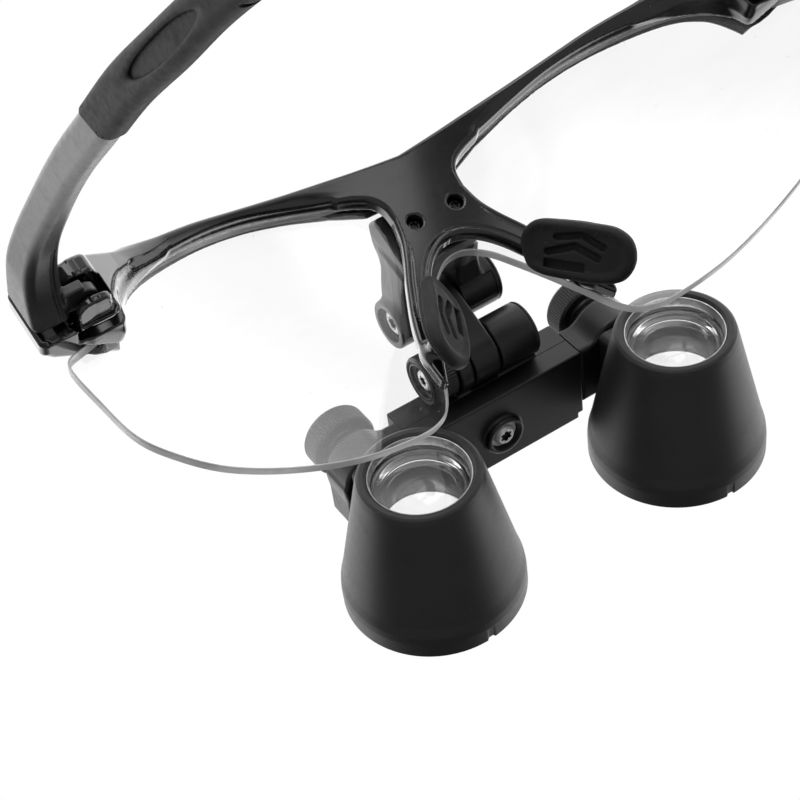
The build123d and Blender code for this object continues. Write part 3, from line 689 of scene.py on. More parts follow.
# =============================================================== outlines
LENS_HALF = [(0, 31.0), (2.0, 30.7), (5.5, 28.3), (8.6, 24.2), (11.3, 20.0), (13.6, 16.0), (15.9, 11.5),
             (17.9, 7.3), (20.5, 4.0), (24, 2.3), (28, 1.8), (37, 1.9), (43, 2.7), (50, 4.2), (57, 6.2),
             (63, 8.6), (68, 11.9), (72.8, 16.6), (75.2, 24.4), (76.6, 31.6), (75.6, 33.2)]
LENS_TOP = [(66.0, 38.4), (62.0, 43.0), (55.6, 47.2), (43.6, 50.5), (33.5, 51.3), (24.5, 50.5), (16, 49.0), (0, 48.6)]
BROW_TOP = [(0, 50.8), (8, 51.45), (16, 52.0), (24, 52.28), (33.5, 52.38), (43, 52.0), (55, 50.0), (68, 47.4), (73.5, 46.2)]
BROW_LOW = [(65.2, 35.6), (64.3, 37.6), (62.6, 40.4), (60.0, 43.2), (55.2, 46.2), (43.6, 49.7), (33.5, 50.6),
            (24.5, 49.7), (16, 48.0), (9.5, 45.8), (7.6, 43.4)]
LEG_OUT = [(7.7, 40.4), (8.6, 36.5), (10.2, 33.0), (12.7, 28.5), (16.6, 20.4), (18.5, 14.0), (18.8, 9.5)]
LEG_IN = [(17.9, 7.8), (16.6, 10.4), (13.2, 17.2), (9.6, 24.6), (7.4, 28.2), (4.9, 30.9), (2.1, 32.5), (0, 32.9)]
SPH = (-124.0, 22.0)


def rho(x, y, z):
    return np.sqrt(x * x + (y - SPH[0]) ** 2 + (z - SPH[1]) ** 2)


top_line = curve(BROW_TOP, 5)
low_line = curve(BROW_LOW[:-2], 5) + curve([(16, 47.6), (11.6, 46.35), (9.2, 45.1), (8.0, 43.3), (7.7, 40.4)], 5)[1:-1] + curve(LEG_OUT, 6)
tip_line = [(18.75, 8.7), (18.4, 8.0)]
in_line = curve([(17.9, 7.8), (16.6, 10.4), (13.2, 17.2), (9.6, 24.6), (7.4, 28.2), (4.9, 30.9), (2.1, 32.5), (0, 32.9)], 6)
half = top_line + [(73.0, 38.5), (70.0, 35.5)] + low_line + tip_line + in_line
REAR2D = Outline(half[:-1] + [(0, 32.9)] + [(-x, z) for x, z in reversed(half) if x > 1e-6], pitch=0.2)
brow_half = top_line + [(73.0, 38.5), (70.0, 35.5)] + curve(BROW_LOW[:-2], 5) + [(9.5, 45.6)]
BROW2D = Outline(mirrored(brow_half), pitch=0.2)
TOP2D = Outline(mirrored(top_line + [(80, 44), (80, 0)]), pitch=0.3)
lens_half = curve(LENS_HALF, 6) + curve(LENS_TOP, 5)
LENS2D = Outline(mirrored(curve(LENS_HALF, 2) + curve(LENS_TOP, 2)), pitch=0.3)
END2D = Outline([(64.0, -27.9), (66.0, -24.2), (68.0, -24.3), (73.0, -27.0), (77.5, -30.4), (79.0, -32.4), (79.0, -35.9), (66.0, -35.9), (64.2, -33.0)], pitch=0.12)


WEB_END2D = Outline([(50.0, -21.6), (54.5, -25.6), (60.5, -32.2), (66.6, -39.7), (68.2, -40.5), (69.5, -40.5), (69.5, -30.0), (60.0, -22.0)], pitch=0.12)

# =============================================================== front frame
def front_frame(x, y, z):
    ax = np.abs(x)
    r = rho(x, y, z)
    rear = rmax(REAR2D(x, z), slab(r, 115.5, 119.1 - 0.2 * ramp(z, 38.0, 31.0)), 0.85)
    brow = rmax(BROW2D(x, z) + 0.14, slab(r, 117.0, 122.8 - 0.85 * ramp(ax, 14.0, 26.0) * (1 - ramp(ax, 60.0, 66.0))), 0.95)
    f = rmin(rear, brow, 0.6)
    # end pieces
    end = rmax(END2D(ax, y), slab(z, 35.0, 47.0), 1.3)
    f = rmin(f, end, 1.6)
    f = rmax(f, np.where(ax > 62, -35.9 - y, -50.0), 0.3)
    # the end piece runs back in a slanting web to the hinge
    web = rmax(rmax(WEB_END2D(ax, y), REAR2D(x, z) + 0.15, 1.1), slab(z, 35.35, 44.8 + 0.34 * (y + 39.7)), 0.6)
    f = rmin(f, web, 2.2)
    # hinge lobes
    for z0, z1, rd in ((35.35, 36.7, 0.4), (41.0, 46.3, 0.8)):
        lobe = np.minimum(cyl(ax, y, 69.5, -38.0, 2.7), rmax(slab(ax, 66.4, 69.6), slab(y, -40.5, -34.5), 0.9))
        lobe = np.minimum(lobe, rmax(slab(ax, 69.5, 72.1), slab(y, -38.0, -34.5), 0.2))
        f = rmin(f, rmax(lobe, slab(z, z0, np.minimum(z1, 44.8 + 0.34 * (y + 39.7))), rd), 0.7)
    f = rmax(f, -rmax(cyl(ax, y, 69.5, -38.0, 3.85), slab(z, 36.8, 40.9), 0.1), 0.15)
    f = rmax(f, np.where((ax > 69.5) & (y < -35.0), np.maximum(ax - 72.1, -40.6 - y), -50.0), 0.1)
    f = rmax(f, -rmax(cyl(ax, y, 69.5, -38.0, 1.55), 44.5 - z, 0.1), 0.15)
    # deep pocket the knuckle turns in, and one under it
    win = rmax(rmax(slab(ax, 65.7, 72.6), slab(y, -42.0, -31.4), 0.5), slab(z, 36.8, 40.9), 0.4)
    f = rmax(f, -win, 0.25)
    und = rmax(rmax(slab(ax, 62.0, 72.6), slab(y, -34.8, -31.6), 0.4), slab(z, 33.0, 39.0), 0.4)
    f = rmax(f, -und, 0.3)
    # posts for the nose pads
    post = capsule(ax, y, z, (16.2, -8.2, 14.4), (16.2, -14.4, 14.6), 1.9, 1.35)
    f = rmin(f, post, 1.4)
    # the slot that holds the lens, a little wider at its mouth
    mouth = np.clip((BROW2D(x, z) + 0.9) / 0.9, 0, 1) * ramp(z, 28.0, 38.0)
    f = rmax(f, -np.maximum(np.abs(r - 120.0) - (1.03 + 0.32 * mouth), LENS2D(x, z) - 0.12), 0.1)
    # moulded line inside the rim of the plate and legs
    rim = np.hypot(REAR2D(x, z) + 1.15, (r - 115.45) * 0.9) - 0.36 + 0.8 * ramp(z, 32.0, 38.0) + 0.8 * ramp(z, 24.0, 17.0)
    f = rmax(f, -rim, 0.22)
    # ridge along the brow: the back is hollowed a little above the lens
    fade = ramp(ax, 4.0, 24.0) * (1 - ramp(ax, 48.0, 62.0))
    hollow = np.hypot((TOP2D(x, z) + 3.9) * 0.75, (r - 114.2)) + 0.4 - 2.1 * fade
    f = rmax(f, -hollow, 0.9)
    # recessed screw holes
    bore = np.maximum(cyl(ax, z, 4.4, 38.3, 1.42), y + 6.6)
    f = rmax(f, -bore, 0.42)
    return f


solid("front_frame", front_frame, (-79.9, -41.4, 6.5), (79.9, -0.6, 53.4), 0.3, "frame", GLOSS, ["front_frame"])

# =============================================================== shield lens


def lens_mesh():
    """The clear shield: two true spherical faces and a rounded cut edge."""
    out = np.array(mirrored(lens_half), float)
    # even spacing
    cl = np.vstack([out, out[:1]])
    seg = np.linalg.norm(np.diff(cl, axis=0), axis=1)
    cum = np.concatenate([[0], np.cumsum(seg)])
    m = int(cum[-1] / 0.6)
    t = np.linspace(0, cum[-1], m, endpoint=False)
    out = np.stack([np.interp(t, cum, cl[:, 0]), np.interp(t, cum, cl[:, 1])], 1)
    for _ in range(2):
        out = 0.25 * np.roll(out, 1, 0) + 0.5 * out + 0.25 * np.roll(out, -1, 0)
    tan = np.roll(out, -1, 0) - np.roll(out, 1, 0)
    tan /= np.linalg.norm(tan, axis=1)[:, None]
    area = 0.5 * np.sum(out[:, 0] * np.roll(out[:, 1], -1) - np.roll(out[:, 0], -1) * out[:, 1])
    nin = np.stack([-tan[:, 1], tan[:, 0]], 1) * (1 if area > 0 else -1)
    prof = [(0.34, 121.0), (0.2, 120.96), (0.08, 120.85), (0.0, 120.66), (0.0, 120.3), (0.0, 119.7), (0.0, 119.34), (0.08, 119.15), (0.2, 119.04), (0.34, 119.0)]

    def at(uv, r):
        y = SPH[0] + np.sqrt(r * r - uv[:, 0] ** 2 - (uv[:, 1] - SPH[1]) ** 2)
        return np.stack([uv[:, 0], y, uv[:, 1]], 1)

    pts, quads = [], []
    for e, r in prof:
        pts.append(at(out + nin * e, r))
    for k in range(len(prof) - 1):
        a = np.arange(m) + k * m
        b = (np.arange(m) + 1) % m + k * m
        quads.append(np.stack([a, b, b + m, a + m], 1))
    inner = out + nin * 0.34
    gx, gz = np.meshgrid(np.arange(-78, 78.1, 1.1), np.arange(1, 52, 1.1))
    grid = np.stack([gx.ravel(), gz.ravel()], 1)
    grid = grid[LENS2D(grid[:, 0], grid[:, 1]) < -0.95]
    verts = [Vector(q) for q in inner] + [Vector(q) for q in grid]
    edges = [(i, (i + 1) % m) for i in range(m)]
    vo, _, fo, ov, _, _ = delaunay_2d_cdt(verts, edges, [list(range(m))], 1, 1e-6)
    vo = np.array([tuple(q) for q in vo])
    tri = np.array([list(q) for q in fo if len(q) == 3])
    base = len(prof) * m
    idmap_f, idmap_b = np.zeros(len(vo), int), np.zeros(len(vo), int)
    extra_f, extra_b = [], []
    orig = {}
    for i, src in enumerate(ov):
        s = min(src) if src else -1
        orig[i] = s
    nxt = base
    for i in range(len(vo)):
        if 0 <= orig[i] < m:
            idmap_f[i] = orig[i]
            idmap_b[i] = orig[i] + (len(prof) - 1) * m
        else:
            idmap_f[i] = nxt
            nxt += 1
            extra_f.append(vo[i])
    for i in range(len(vo)):
        if not 0 <= orig[i] < m:
            idmap_b[i] = nxt
            nxt += 1
            extra_b.append(vo[i])
    p = np.concatenate(pts + [at(np.array(extra_f), 121.0), at(np.array(extra_b), 119.0)])
    q = np.concatenate(quads)
    tf, tb = idmap_f[tri], idmap_b[tri][:, ::-1]
    # direction of the caps: outwards
    def facing(tt):
        a, b, c = p[tt[:, 0]], p[tt[:, 1]], p[tt[:, 2]]
        return np.cross(b - a, c - a)[:, 1].sum()
    if facing(tf) < 0:
        tf, tb = tf[:, ::-1], tb[:, ::-1]
    tris = np.concatenate([tf, tb])
    vol_q = signed_volume(p, q)
    # rim quads agree with the caps when the outline runs the right way
    e_q = set(map(tuple, q[:1, :2]))
    a0, b0 = q[0, 0], q[0, 1]
    hit = [t for t in tf if a0 in t and b0 in t]
    if hit:
        t = list(hit[0])
        i = t.index(a0)
        if t[(i + 1) % 3] == b0:
            q = q[:, ::-1]
    # true normals
    c = np.array([0, SPH[0], SPH[1]])
    rad = (p - c) / np.linalg.norm(p - c, axis=1)[:, None]
    nor = rad.copy()
    outw = np.concatenate([-nin, np.zeros((m, 0))], 1)
    for k, (e, r) in enumerate(prof):
        s = slice(k * m, (k + 1) * m)
        o3 = np.stack([outw[:, 0], np.zeros(m), outw[:, 1]], 1)
        w = {0: 0.0, 1: 0.42, 2: 0.75, 3: 1.0, 4: 1.0, 5: 1.0, 6: 1.0, 7: 0.75, 8: 0.42, 9: 0.0}[k]
        sg = 1 if k <= 4 else -1
        v = o3 * w + rad[s] * sg * (1 - w)
        nor[s] = v / np.linalg.norm(v, axis=1)[:, None]
    nb = base + len(extra_f)
    nor[nb:] = -rad[nb:]
    fm = np.concatenate([np.ones(len(q), int), np.zeros(len(tris), int)])
    return p, [q, tris], nor, fm


lp, lf, ln_, lm = lens_mesh()
make("shield_lens", from_eye(lp), lf, "frame", None, ["shield_lens"], face_mat=lm, mats=[SHIELD, SHIELD_EDGE], normals=ln_)

# =============================================================== nose pads
PAD2D = Outline(curve([(-9.2, -2.2), (-9.9, 0.2), (-9.4, 2.6), (-7.4, 4.5), (-3.0, 5.1), (2.0, 5.2), (6.4, 4.9), (9.0, 3.3), (10.0, 0.7),
                       (9.7, -1.8), (8.0, -4.2), (4.5, -5.2), (-1.0, -5.2), (-5.8, -4.9), (-8.2, -3.9), (-9.2, -2.2)], 6)[:-1], pitch=0.1)


def nose_pad(u, v, w):
    u = u / 1.12
    d = PAD2D(u, v)
    top_w = 2.15 - 0.28 * ramp(d, -0.8, -2.2) - 0.006 * u * u
    top_w = 2.15 - 0.28 * (1 - ramp(d, -2.4, -0.9)) - 0.007 * u * u
    f = rmax(d, w - top_w, 1.05)
    f = rmax(f, -1.35 - w + 0.006 * u * u, 0.9)
    # slanting grip grooves
    for pts, wid, dep in (([(-4.6, -0.7), (0.1, 0.9), (4.0, -0.7)], 0.72, 1.15), ([(-3.2, 2.1), (1.2, 3.0), (4.8, 1.3)], 0.66, 1.05)):
        g = np.hypot(line2(u, v, pts) / wid, (w - top_w) / dep) - 1
        f = rmax(f, -g * 0.45, 0.12)
    hole = rmax(rmax(slab(u, -5.2, 2.0), slab(v, -3.5, -1.9), 0.3), 0.7 - w, 0.1)
    f = rmax(f, -hole, 0.2)
    # fine parting line round the side
    part = np.hypot(d, w + 0.4) - 0.22
    return rmax(f, -part, 0.08)


nrm = np.array([-0.777, -0.613, -0.139])
nrm /= np.linalg.norm(nrm)
lng = np.array([0.472, -0.423, -0.773])
lng -= (lng @ nrm) * nrm
lng /= np.linalg.norm(lng)
sid = np.cross(nrm, lng)
for ob in solid("nose_pad", nose_pad, (-12.0, -6.2, -2.8), (12.0, 6.2, 3.0), 0.16, "frame", RUBBER, ["nose_pad"],
                both_sides=True, place=((14.5, -15.5, 15.9), (lng, sid, nrm))):
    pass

# =============================================================== bracket
UPY, UPZ = 2.3 * C20 + 36.7 * S20, -2.3 * S20 + 36.7 * C20
PLATE2D = Outline([(-5.5, 33.4), (-5.5, 44.4), (-1.9, 46.2), (1.2, 44.6), (4.6, 41.0), (6.2, 34.8), (5.0, 33.4)], pitch=0.12)
EAR2D = Outline([(0.3, 33.4), (0.3, 42.2), (4.6, 41.0), (UPY - 1.4, UPZ + 4.3), (UPY - 1.4, UPZ - 4.3), (7.6, 31.6), (4.5, 32.8)], pitch=0.12)


def flip_bracket(x, y, z):
    r = rho(x, y, z)
    # wings narrow in towards the ears
    half_x = np.where(x < 0, 9.0, 8.0) - 2.2 * ramp(z, 43.0, 36.0) * ramp(y, -3.0, 4.0)
    f = rmax(PLATE2D(y, z), np.abs(x) - half_x, 1.2)
    hub_l = rmax(cyl(y, z, UPY, UPZ, 4.95), slab(x, -10.7, -3.15), 0.45)
    hub_r = rmax(cyl(y, z, UPY, UPZ, 5.35), slab(x, 3.15, 12.1), 0.6)
    neck = ramp(y, 2.0, 11.0)
    arm_l = rmax(EAR2D(y, z), slab(x, -8.9 - 0.7 * neck, -3.15), 1.0)
    arm_r = rmax(EAR2D(y, z), slab(x, 3.15, 8.0 + 0.6 * neck), 1.0)
    f = rmin(f, np.minimum(arm_l, arm_r), 1.0)
    f = rmin(f, hub_l, 1.1)
    f = rmin(f, hub_r, 1.1)
    # a flat patch and a fine band on the right hub
    ang = np.arctan2(z - UPZ, y - UPY)
    sector = np.maximum(slab(ang, -2.75, -1.75) * 4.5, slab(x, 3.6, 10.9))
    f = rmax(f, -np.maximum(sector, 4.95 - np.hypot(y - UPY, z - UPZ)), 0.2)
    band = np.hypot(x - 11.25, np.hypot(y - UPY, z - UPZ) - 5.4) - 0.28
    f = rmax(f, -band, 0.1)
    # room for the link
    f = rmax(f, -np.maximum(cyl(y, z, UPY, UPZ, 6.1), np.abs(x) - 3.15), 0.25)
    # seat against the lens
    f = rmax(f, 121.05 - r, 0.3)
    # cup for the pivot screw: a step, then the floor
    f = rmax(f, -np.maximum(cyl(y, z, UPY, UPZ, 3.5), x + 9.75), 0.2)
    f = rmax(f, -np.maximum(cyl(y, z, UPY, UPZ, 2.95), x + 9.1), 0.12)
    return f


solid("flip_bracket", flip_bracket, (-11.2, -6.6, 27.6), (12.7, 21.0, 47.0), 0.19, "frame", SATIN, ["flip_bracket"])
screw_head("flip_bolt", from_eye((-9.8, UPY, UPZ)), (-1, 0, 0), 2.6, 0.7, 1.45, 0.55, "frame", STEEL, ["flip_bolt"], shank=16.4, shank_r=1.6)
for i, sx in enumerate((-4.4, 4.4)):
    screw_head("bridge_screw_%d" % (i + 1), from_eye((sx, -8.35, 38.3)), (0, -1, 0), 1.28, 1.1, 0.78, 0.6, "frame", BLACK_STEEL,
               ["bridge_screws"], dome=0.3, shank=8.0, shank_r=1.25)

# =============================================================== link
LINK_A, LINK_B = np.array([2.3, 36.7]), np.array([7.6, 25.0])


def flip_link(x, d, n):
    a = np.maximum(np.abs(x) - 2.85, 0) * 0
    dd = LINK_B - LINK_A
    t = np.clip(((d - LINK_A[0]) * dd[0] + (n - LINK_A[1]) * dd[1]) / (dd @ dd), 0, 1)
    body = np.hypot(d - LINK_A[0] - t * dd[0], n - LINK_A[1] - t * dd[1]) - 5.3
    f = rmax(body, np.abs(x) - 2.88, 0.55)
    # shallow panel along both side faces
    pan = np.maximum(np.hypot(d - LINK_A[0] - t * dd[0], n - LINK_A[1] - t * dd[1]) - 3.1, 2.6 - np.abs(x))
    f = rmax(f, -pan, 0.15)
    bores = np.minimum(np.hypot(d - LINK_A[0], n - LINK_A[1]), np.hypot(d - LINK_B[0], n - LINK_B[1])) - 1.74
    return rmax(f, -bores, 0.08)


solid("flip_link", flip_link, (-3.2, -3.6, 19.2), (3.2, 13.4, 42.5), 0.16, "link", SATIN, ["flip_link"], space="bar")

# =============================================================== bar
WEB2D = Outline([(7.6, 22.1), (15.0, 21.9), (15.0, 27.0), (7.6, 30.4)], pitch=0.12)


def bar_housing(x, d, n):
    f = rmax(rmax(np.abs(x) - 18.85, slab(d, 13.0, 29.9), 0.3), n - 27.3, 0.5)
    f = rmax(f, 21.735 - n, 0.07)
    for x0, x1 in ((-6.05, -3.15), (3.15, 11.9)):
        hub = np.minimum(cyl(d, n, 7.6, 25.0, 5.35), WEB2D(d, n))
        f = rmin(f, rmax(hub, slab(x, x0, x1), 0.5), 0.5)
    # moulded line round the right hub's end
    f = rmax(f, -(np.hypot(x - 11.15, np.hypot(d - 7.6, n - 25.0) - 5.4) - 0.24), 0.1)
    return rmax(f, -np.maximum(slab(d, 17.0, 26.0), n - 24.05), 0.1)


solid("bar_housing", bar_housing, (-19.2, 1.8, 19.2), (19.2, 30.4, 30.8), 0.17, "bar", SATIN, ["bar_housing"], space="bar")


def bar_cover(x, d, n):
    f = rmax(rmax(np.abs(x) - 18.85, slab(d, 13.0, 29.9), 0.3), 17.1 - n, 0.4)
    f = rmax(f, n - 21.715, 0.07)
    # notch at two corners
    f = rmax(f, -np.maximum(np.maximum(17.6 - np.abs(x), 28.5 - d), n - 19.4), 0.15)
    rr = np.hypot(x, d - 22.5)
    f = rmin(f, rmax(rr - 4.1, slab(n, 15.85, 18.5), 0.45), 0.5)
    f = rmax(f, -np.maximum(rr - 3.2, n - 17.45), 0.2)
    return rmax(f, -np.maximum(slab(d, 17.0, 26.0), 19.15 - n), 0.1)


solid("bar_cover", bar_cover, (-19.2, 12.6, 15.3), (19.2, 30.4, 22.1), 0.16, "bar", SATIN, ["bar_cover"], space="bar")
C0 = from_bar((0, 22.5, 0))[0]
turned("cover_washer", rounded([(1.7, 17.2, 0.05), (3.08, 17.2, 0.08), (3.08, 17.44, 0.05), (1.7, 17.44, 0.05)]), 96, C0, NA, "bar", STEEL, ["cover_washer"], "steel")
screw_head("cover_screw", from_bar((0, 22.5, 15.95))[0], -NA, 2.15, 1.2, 1.28, 0.8, "bar", STEEL, ["cover_screw"], dome=0.32, shank=8.0, shank_r=1.5)
screw_head("tilt_bolt", from_bar((-11.35, 7.6, 25.0))[0], (-1, 0, 0), 2.2, 1.0, 1.15, 0.7, "bar", STEEL, ["tilt_bolt"], dome=0.2, shank=17.2, shank_r=1.58)

# =============================================================== tilt knob
TK = from_bar((0, 7.6, 25.0))[0]


def knurl(count, deep, lo, hi, fade=0.35):
    def shape(r, h, th):
        a = np.clip((h - lo) / fade, 0, 1) * np.clip((hi - h) / fade, 0, 1)
        w = np.abs(np.sin(count * th / 2))
        return np.where(r > KN_MIN, r - deep * a * (1 - w) ** 1.0, r), h
    return shape


KN_MIN = 4.75
tilt_prof = rounded([(1.66, 6.2, 0.1), (4.7, 6.2, 0.3), (5.0, 6.6, 0.15), (5.0, 11.5, 0.15), (4.7, 11.95, 0.2), (4.4, 11.95, 0.12), (4.2, 11.45, 0.1),
                     (3.95, 11.45, 0.1), (3.8, 11.85, 0.12), (3.5, 11.85, 0.12), (3.35, 10.95, 0.1), (3.0, 10.95, 0.1), (2.85, 10.3, 0.1), (2.5, 10.3, 0.1), (2.32, 8.5, 0.1), (1.66, 8.5, 0.1)])
turned("tilt_knob", tilt_prof, 300, TK, (-1, 0, 0), "tilt_knob", SATIN, ["tilt_knob"], "satin_black", shape=knurl(50, 0.26, 6.5, 11.6))

# =============================================================== barrels
barrel_prof = rounded([(9.8, 0, 0.25), (10.6, 0, 0.35), (11.15, 0.35, 0.4), (11.5, 1.5, 0.9), (16.2, 23.0, 5.0), (16.75, 25.0, 3.5), (16.9, 26.4, 2.0), (16.9, 29.6, 0.25),
                       (16.5, 30, 0.25), (15.9, 30, 0.25), (15.4, 29.5, 0.2), (15.4, 26.4, 0.1), (15.0, 26.4, 0.1), (15.0, 21.5, 0.1), (13.75, 21.5, 0.2), (9.3, 5.2, 0.5), (9.3, 0.5, 0.2)], n=6)


def barrel_shape(r, h, th):
    # angle 0 lies up, away from the floor; the index notch is opposite, in the front rim
    a = np.abs((th - math.pi * 1.015 + math.pi) % (2 * math.pi) - math.pi)
    cut = np.clip((0.05 - a) / 0.012, 0, 1)
    h2 = np.where(h > 29.0, h - 0.45 * cut * np.clip((h - 29.0) / 0.6, 0, 1), h)
    r2 = np.where((h > 28.9) & (r > 16.2), r - 0.18 * cut, r)
    return r2, h2


base_ang = np.linspace(0, 2 * math.pi, 180, endpoint=False)
extra = math.pi * 1.015 + np.array([-0.07, -0.062, -0.056, -0.05, -0.03, 0, 0.03, 0.05, 0.056, 0.062, 0.07])
ANG = np.unique(np.round(np.concatenate([base_ang, extra]), 5))
OPTICS = [
    ("eyepiece_ring", rounded([(8.78, 2.0, 0.1), (9.06, 0.62, 0.08), (9.26, 0.5, 0.08), (9.26, 2.38, 0.05), (8.78, 2.38, 0.05)]), RING, "ring_grey"),
    ("lens_spacer", rounded([(8.4, 5.2, 0.05), (9.2, 5.2, 0.05), (13.6, 21.4, 0.05), (12.85, 21.4, 0.05)]), INNER, "inner_black"),
    ("objective_ring", rounded([(13.5, 24.85, 0.1), (14.94, 24.85, 0.05), (14.94, 26.3, 0.1), (14.2, 26.3, 0.2), (13.6, 25.9, 0.2)]), RING, "ring_grey"),
]


def arc(r0, h0, r1, h1, n=14):
    """Points of a shallow dish or dome from (r0, h0) on the axis to (r1, h1)."""
    out = []
    for k in range(n + 1):
        t = k / n
        r = r0 + (r1 - r0) * t
        out.append((r, h0 + (h1 - h0) * t * t))
    return out


EYE_GLASS = arc(0, 2.75, 8.3, 2.42) + [(9.0, 2.42), (9.22, 2.5), (9.22, 5.0), (9.0, 5.12)] + list(reversed(arc(0, 3.5, 8.6, 5.12)))
OBJ_GLASS = arc(0, 20.9, 12.8, 21.55) + [(14.8, 21.55), (14.93, 21.65), (14.93, 24.6), (14.8, 24.72)] + list(reversed(arc(0, 26.0, 13.2, 24.72)))
for tag, sg in (("left", -1), ("right", 1)):
    c0 = from_bar((28.0, 0, 0))[0]
    kw = dict(mirror=(sg < 0), up=NA)
    body = tag + "_barrel"
    turned(tag + "_barrel", barrel_prof, 0, c0, DA, body, BARREL, [tag + "_barrel"], "barrel_black", shape=barrel_shape, angles=ANG, **kw)
    for nm, prof, mt, sl in OPTICS:
        turned(tag + "_" + nm, prof, 128, c0, DA, body, mt, [tag + "_" + nm], sl, **kw)
    for nm, prof in (("eyepiece_lens", EYE_GLASS), ("objective_lens", OBJ_GLASS)):
        ob = turned(tag + "_" + nm, prof, 128, c0, DA, body, GLASS, [tag + "_" + nm], "optical_glass", **kw)
        mark_sharp(ob, 25)


# --------------------------------------------------------------- foot, arm, knob
def foot(x, d, n):
    r = np.hypot(x - 28.0, n)
    cone = np.interp(d, [-5, 0, 1.5, 23.0, 24.4, 25.6, 40], [11.0, 11.2, 11.52, 16.22, 16.72, 16.92, 16.92])
    f = rmax(rmax(np.abs(x - 28.0) - 4.8, slab(d, 11.0, 24.0), 1.6), slab(n, 12.0, 17.2), 0.3)
    return np.maximum(f, cone - 0.25 - r)


solid("barrel_foot", foot, (22.6, 10.4, 11.0), (33.4, 24.6, 17.8), 0.2, "barrel", BARREL, ["barrel_foot"], space="bar", both_sides=True)
ARM2D = Outline([(18.92, 13.0), (27.0, 13.0), (28.0, 13.6), (28.0, 16.0), (34.1, 16.0), (34.1, 25.5), (32.6, 28.6), (26, 28.6), (23, 26.6), (18.92, 26.6)], pitch=0.12)


def arm(x, d, n):
    lobe = np.hypot(x - 28.0, d - 16.0) - 6.1
    f = rmin(ARM2D(x, d), lobe, 1.2)
    f = rmax(f, slab(n, 17.3, 24.75), np.where(x < 21.0, 0.4, 1.3)) if False else rmax(f, slab(n, 17.3, 24.75), 0.9)
    tongue = rmax(rmax(slab(x, 3.2, 21.0), slab(d, 17.05, 25.95), 0.2), slab(n, 19.25, 23.95), 0.2)
    f = np.minimum(f, tongue)
    return rmax(f, -np.maximum(np.hypot(x - 28.0, d - 16.0) - 1.6, 16.0 - n), 0.05)


solid("arm", arm, (2.8, 9.4, 16.8), (34.6, 29.2, 25.2), 0.19, "arm", SATIN, ["arm"], space="bar", both_sides=True)
knob_prof = rounded([(1.58, 24.86, 0.1), (4.9, 24.86, 0.15), (4.75, 25.5, 0.5), (4.3, 26.6, 0.5), (4.5, 27.2, 0.15), (6.1, 27.2, 0.25), (6.55, 27.75, 0.2), (6.55, 31.65, 0.2), (6.1, 32.15, 0.25),
                     (5.3, 32.15, 0.2), (5.0, 31.6, 0.2), (3.2, 31.6, 0.2), (2.9, 30.8, 0.2), (1.58, 30.8, 0.1)])
KN_MIN2 = 5.9


def knob_shape(r, h, th):
    a = np.clip((h - 27.35) / 0.5, 0, 1) * np.clip((32.1 - h) / 0.5, 0, 1)
    w = np.abs(np.sin(76 * th / 2))
    return np.where(r > KN_MIN2, r - 0.24 * a * (1 - w), r), h


stud_prof = rounded([(0, 15.3, 0), (1.5, 15.3, 0.1), (1.5, 30.2, 0.3), (1.2, 30.5, 0.1), (0.75, 30.5, 0.1), (0.7, 30.0, 0.1), (0, 30.0, 0)], closed=False)
for tag, sg in (("left", -1), ("right", 1)):
    kc = from_bar((28.0, 16.0, 0))[0]
    turned(tag + "_knob", knob_prof, 456, kc, NA, tag + "_knob", SATIN, [tag + "_knob"], "satin_black", shape=knob_shape, mirror=(sg < 0), up=DA)
    turned(tag + "_clamp_stud", stud_prof, 64, kc, NA, tag + "_barrel", STEEL, [tag + "_clamp_stud"], "steel", mirror=(sg < 0), up=DA)

# =============================================================== temples
T_TOP = [(-36.05, 47.2), (-45, 47.6), (-51, 47.0), (-64.5, 43.6), (-79.3, 38.7), (-94.4, 32.5), (-108, 27.0),
         (-121.7, 20.3), (-133.8, 14.3), (-146, 8.0), (-153, 3.5), (-158, -1.0)]
T_BOT = [(-36.05, 36.8), (-43, 39.4), (-51, 40.0), (-64, 37.1), (-78.5, 32.4), (-93, 26.4), (-106.5, 20.9), (-120, 14.4),
         (-132.5, 8.8), (-143.5, 3.0), (-154, -3.8), (-158, -6.0)]
P_OUT = [(79.0, -36.05), (78.2, -45), (77.0, -51), (74.6, -64.5), (72.7, -79.3), (71.0, -94.4), (69.2, -108),
         (67.2, -121.7), (65.1, -133.8), (62.3, -146), (58.9, -158)]
P_IN = [(72.4, -36.05), (72.2, -45), (71.6, -51), (70.2, -64.5), (68.7, -79.3), (67.1, -94.4), (65.4, -108),
        (63.4, -121.7), (61.3, -133.8), (58.7, -146), (55.4, -158)]


def table(pts):
    """Smooth function of y from points (y, value)."""
    q = np.array(curve(sorted(pts), 8))
    ys = np.linspace(-160, -34, 900)
    v = np.interp(ys, q[:, 0], q[:, 1])
    k = np.exp(-0.5 * (np.arange(-14, 15) / 6.0) ** 2)
    k /= k.sum()
    v = np.convolve(np.pad(v, 14, mode="edge"), k, mode="valid")
    return lambda y: np.interp(y, ys, v)


f_top, f_bot = table(T_TOP), table(T_BOT)
f_out, f_in = table([(y, x) for x, y in P_OUT]), table([(y, x) for x, y in P_IN])


def temple_blank(x, y, z, grow=0.0, rnd=1.55):
    t, b, o, i = f_top(y), f_bot(y), f_out(y), f_in(y)
    a = np.maximum(x - o, i - x)
    c = np.maximum(z - t, b - z) * 0.91
    return rmax(a - grow, c - grow, rnd)


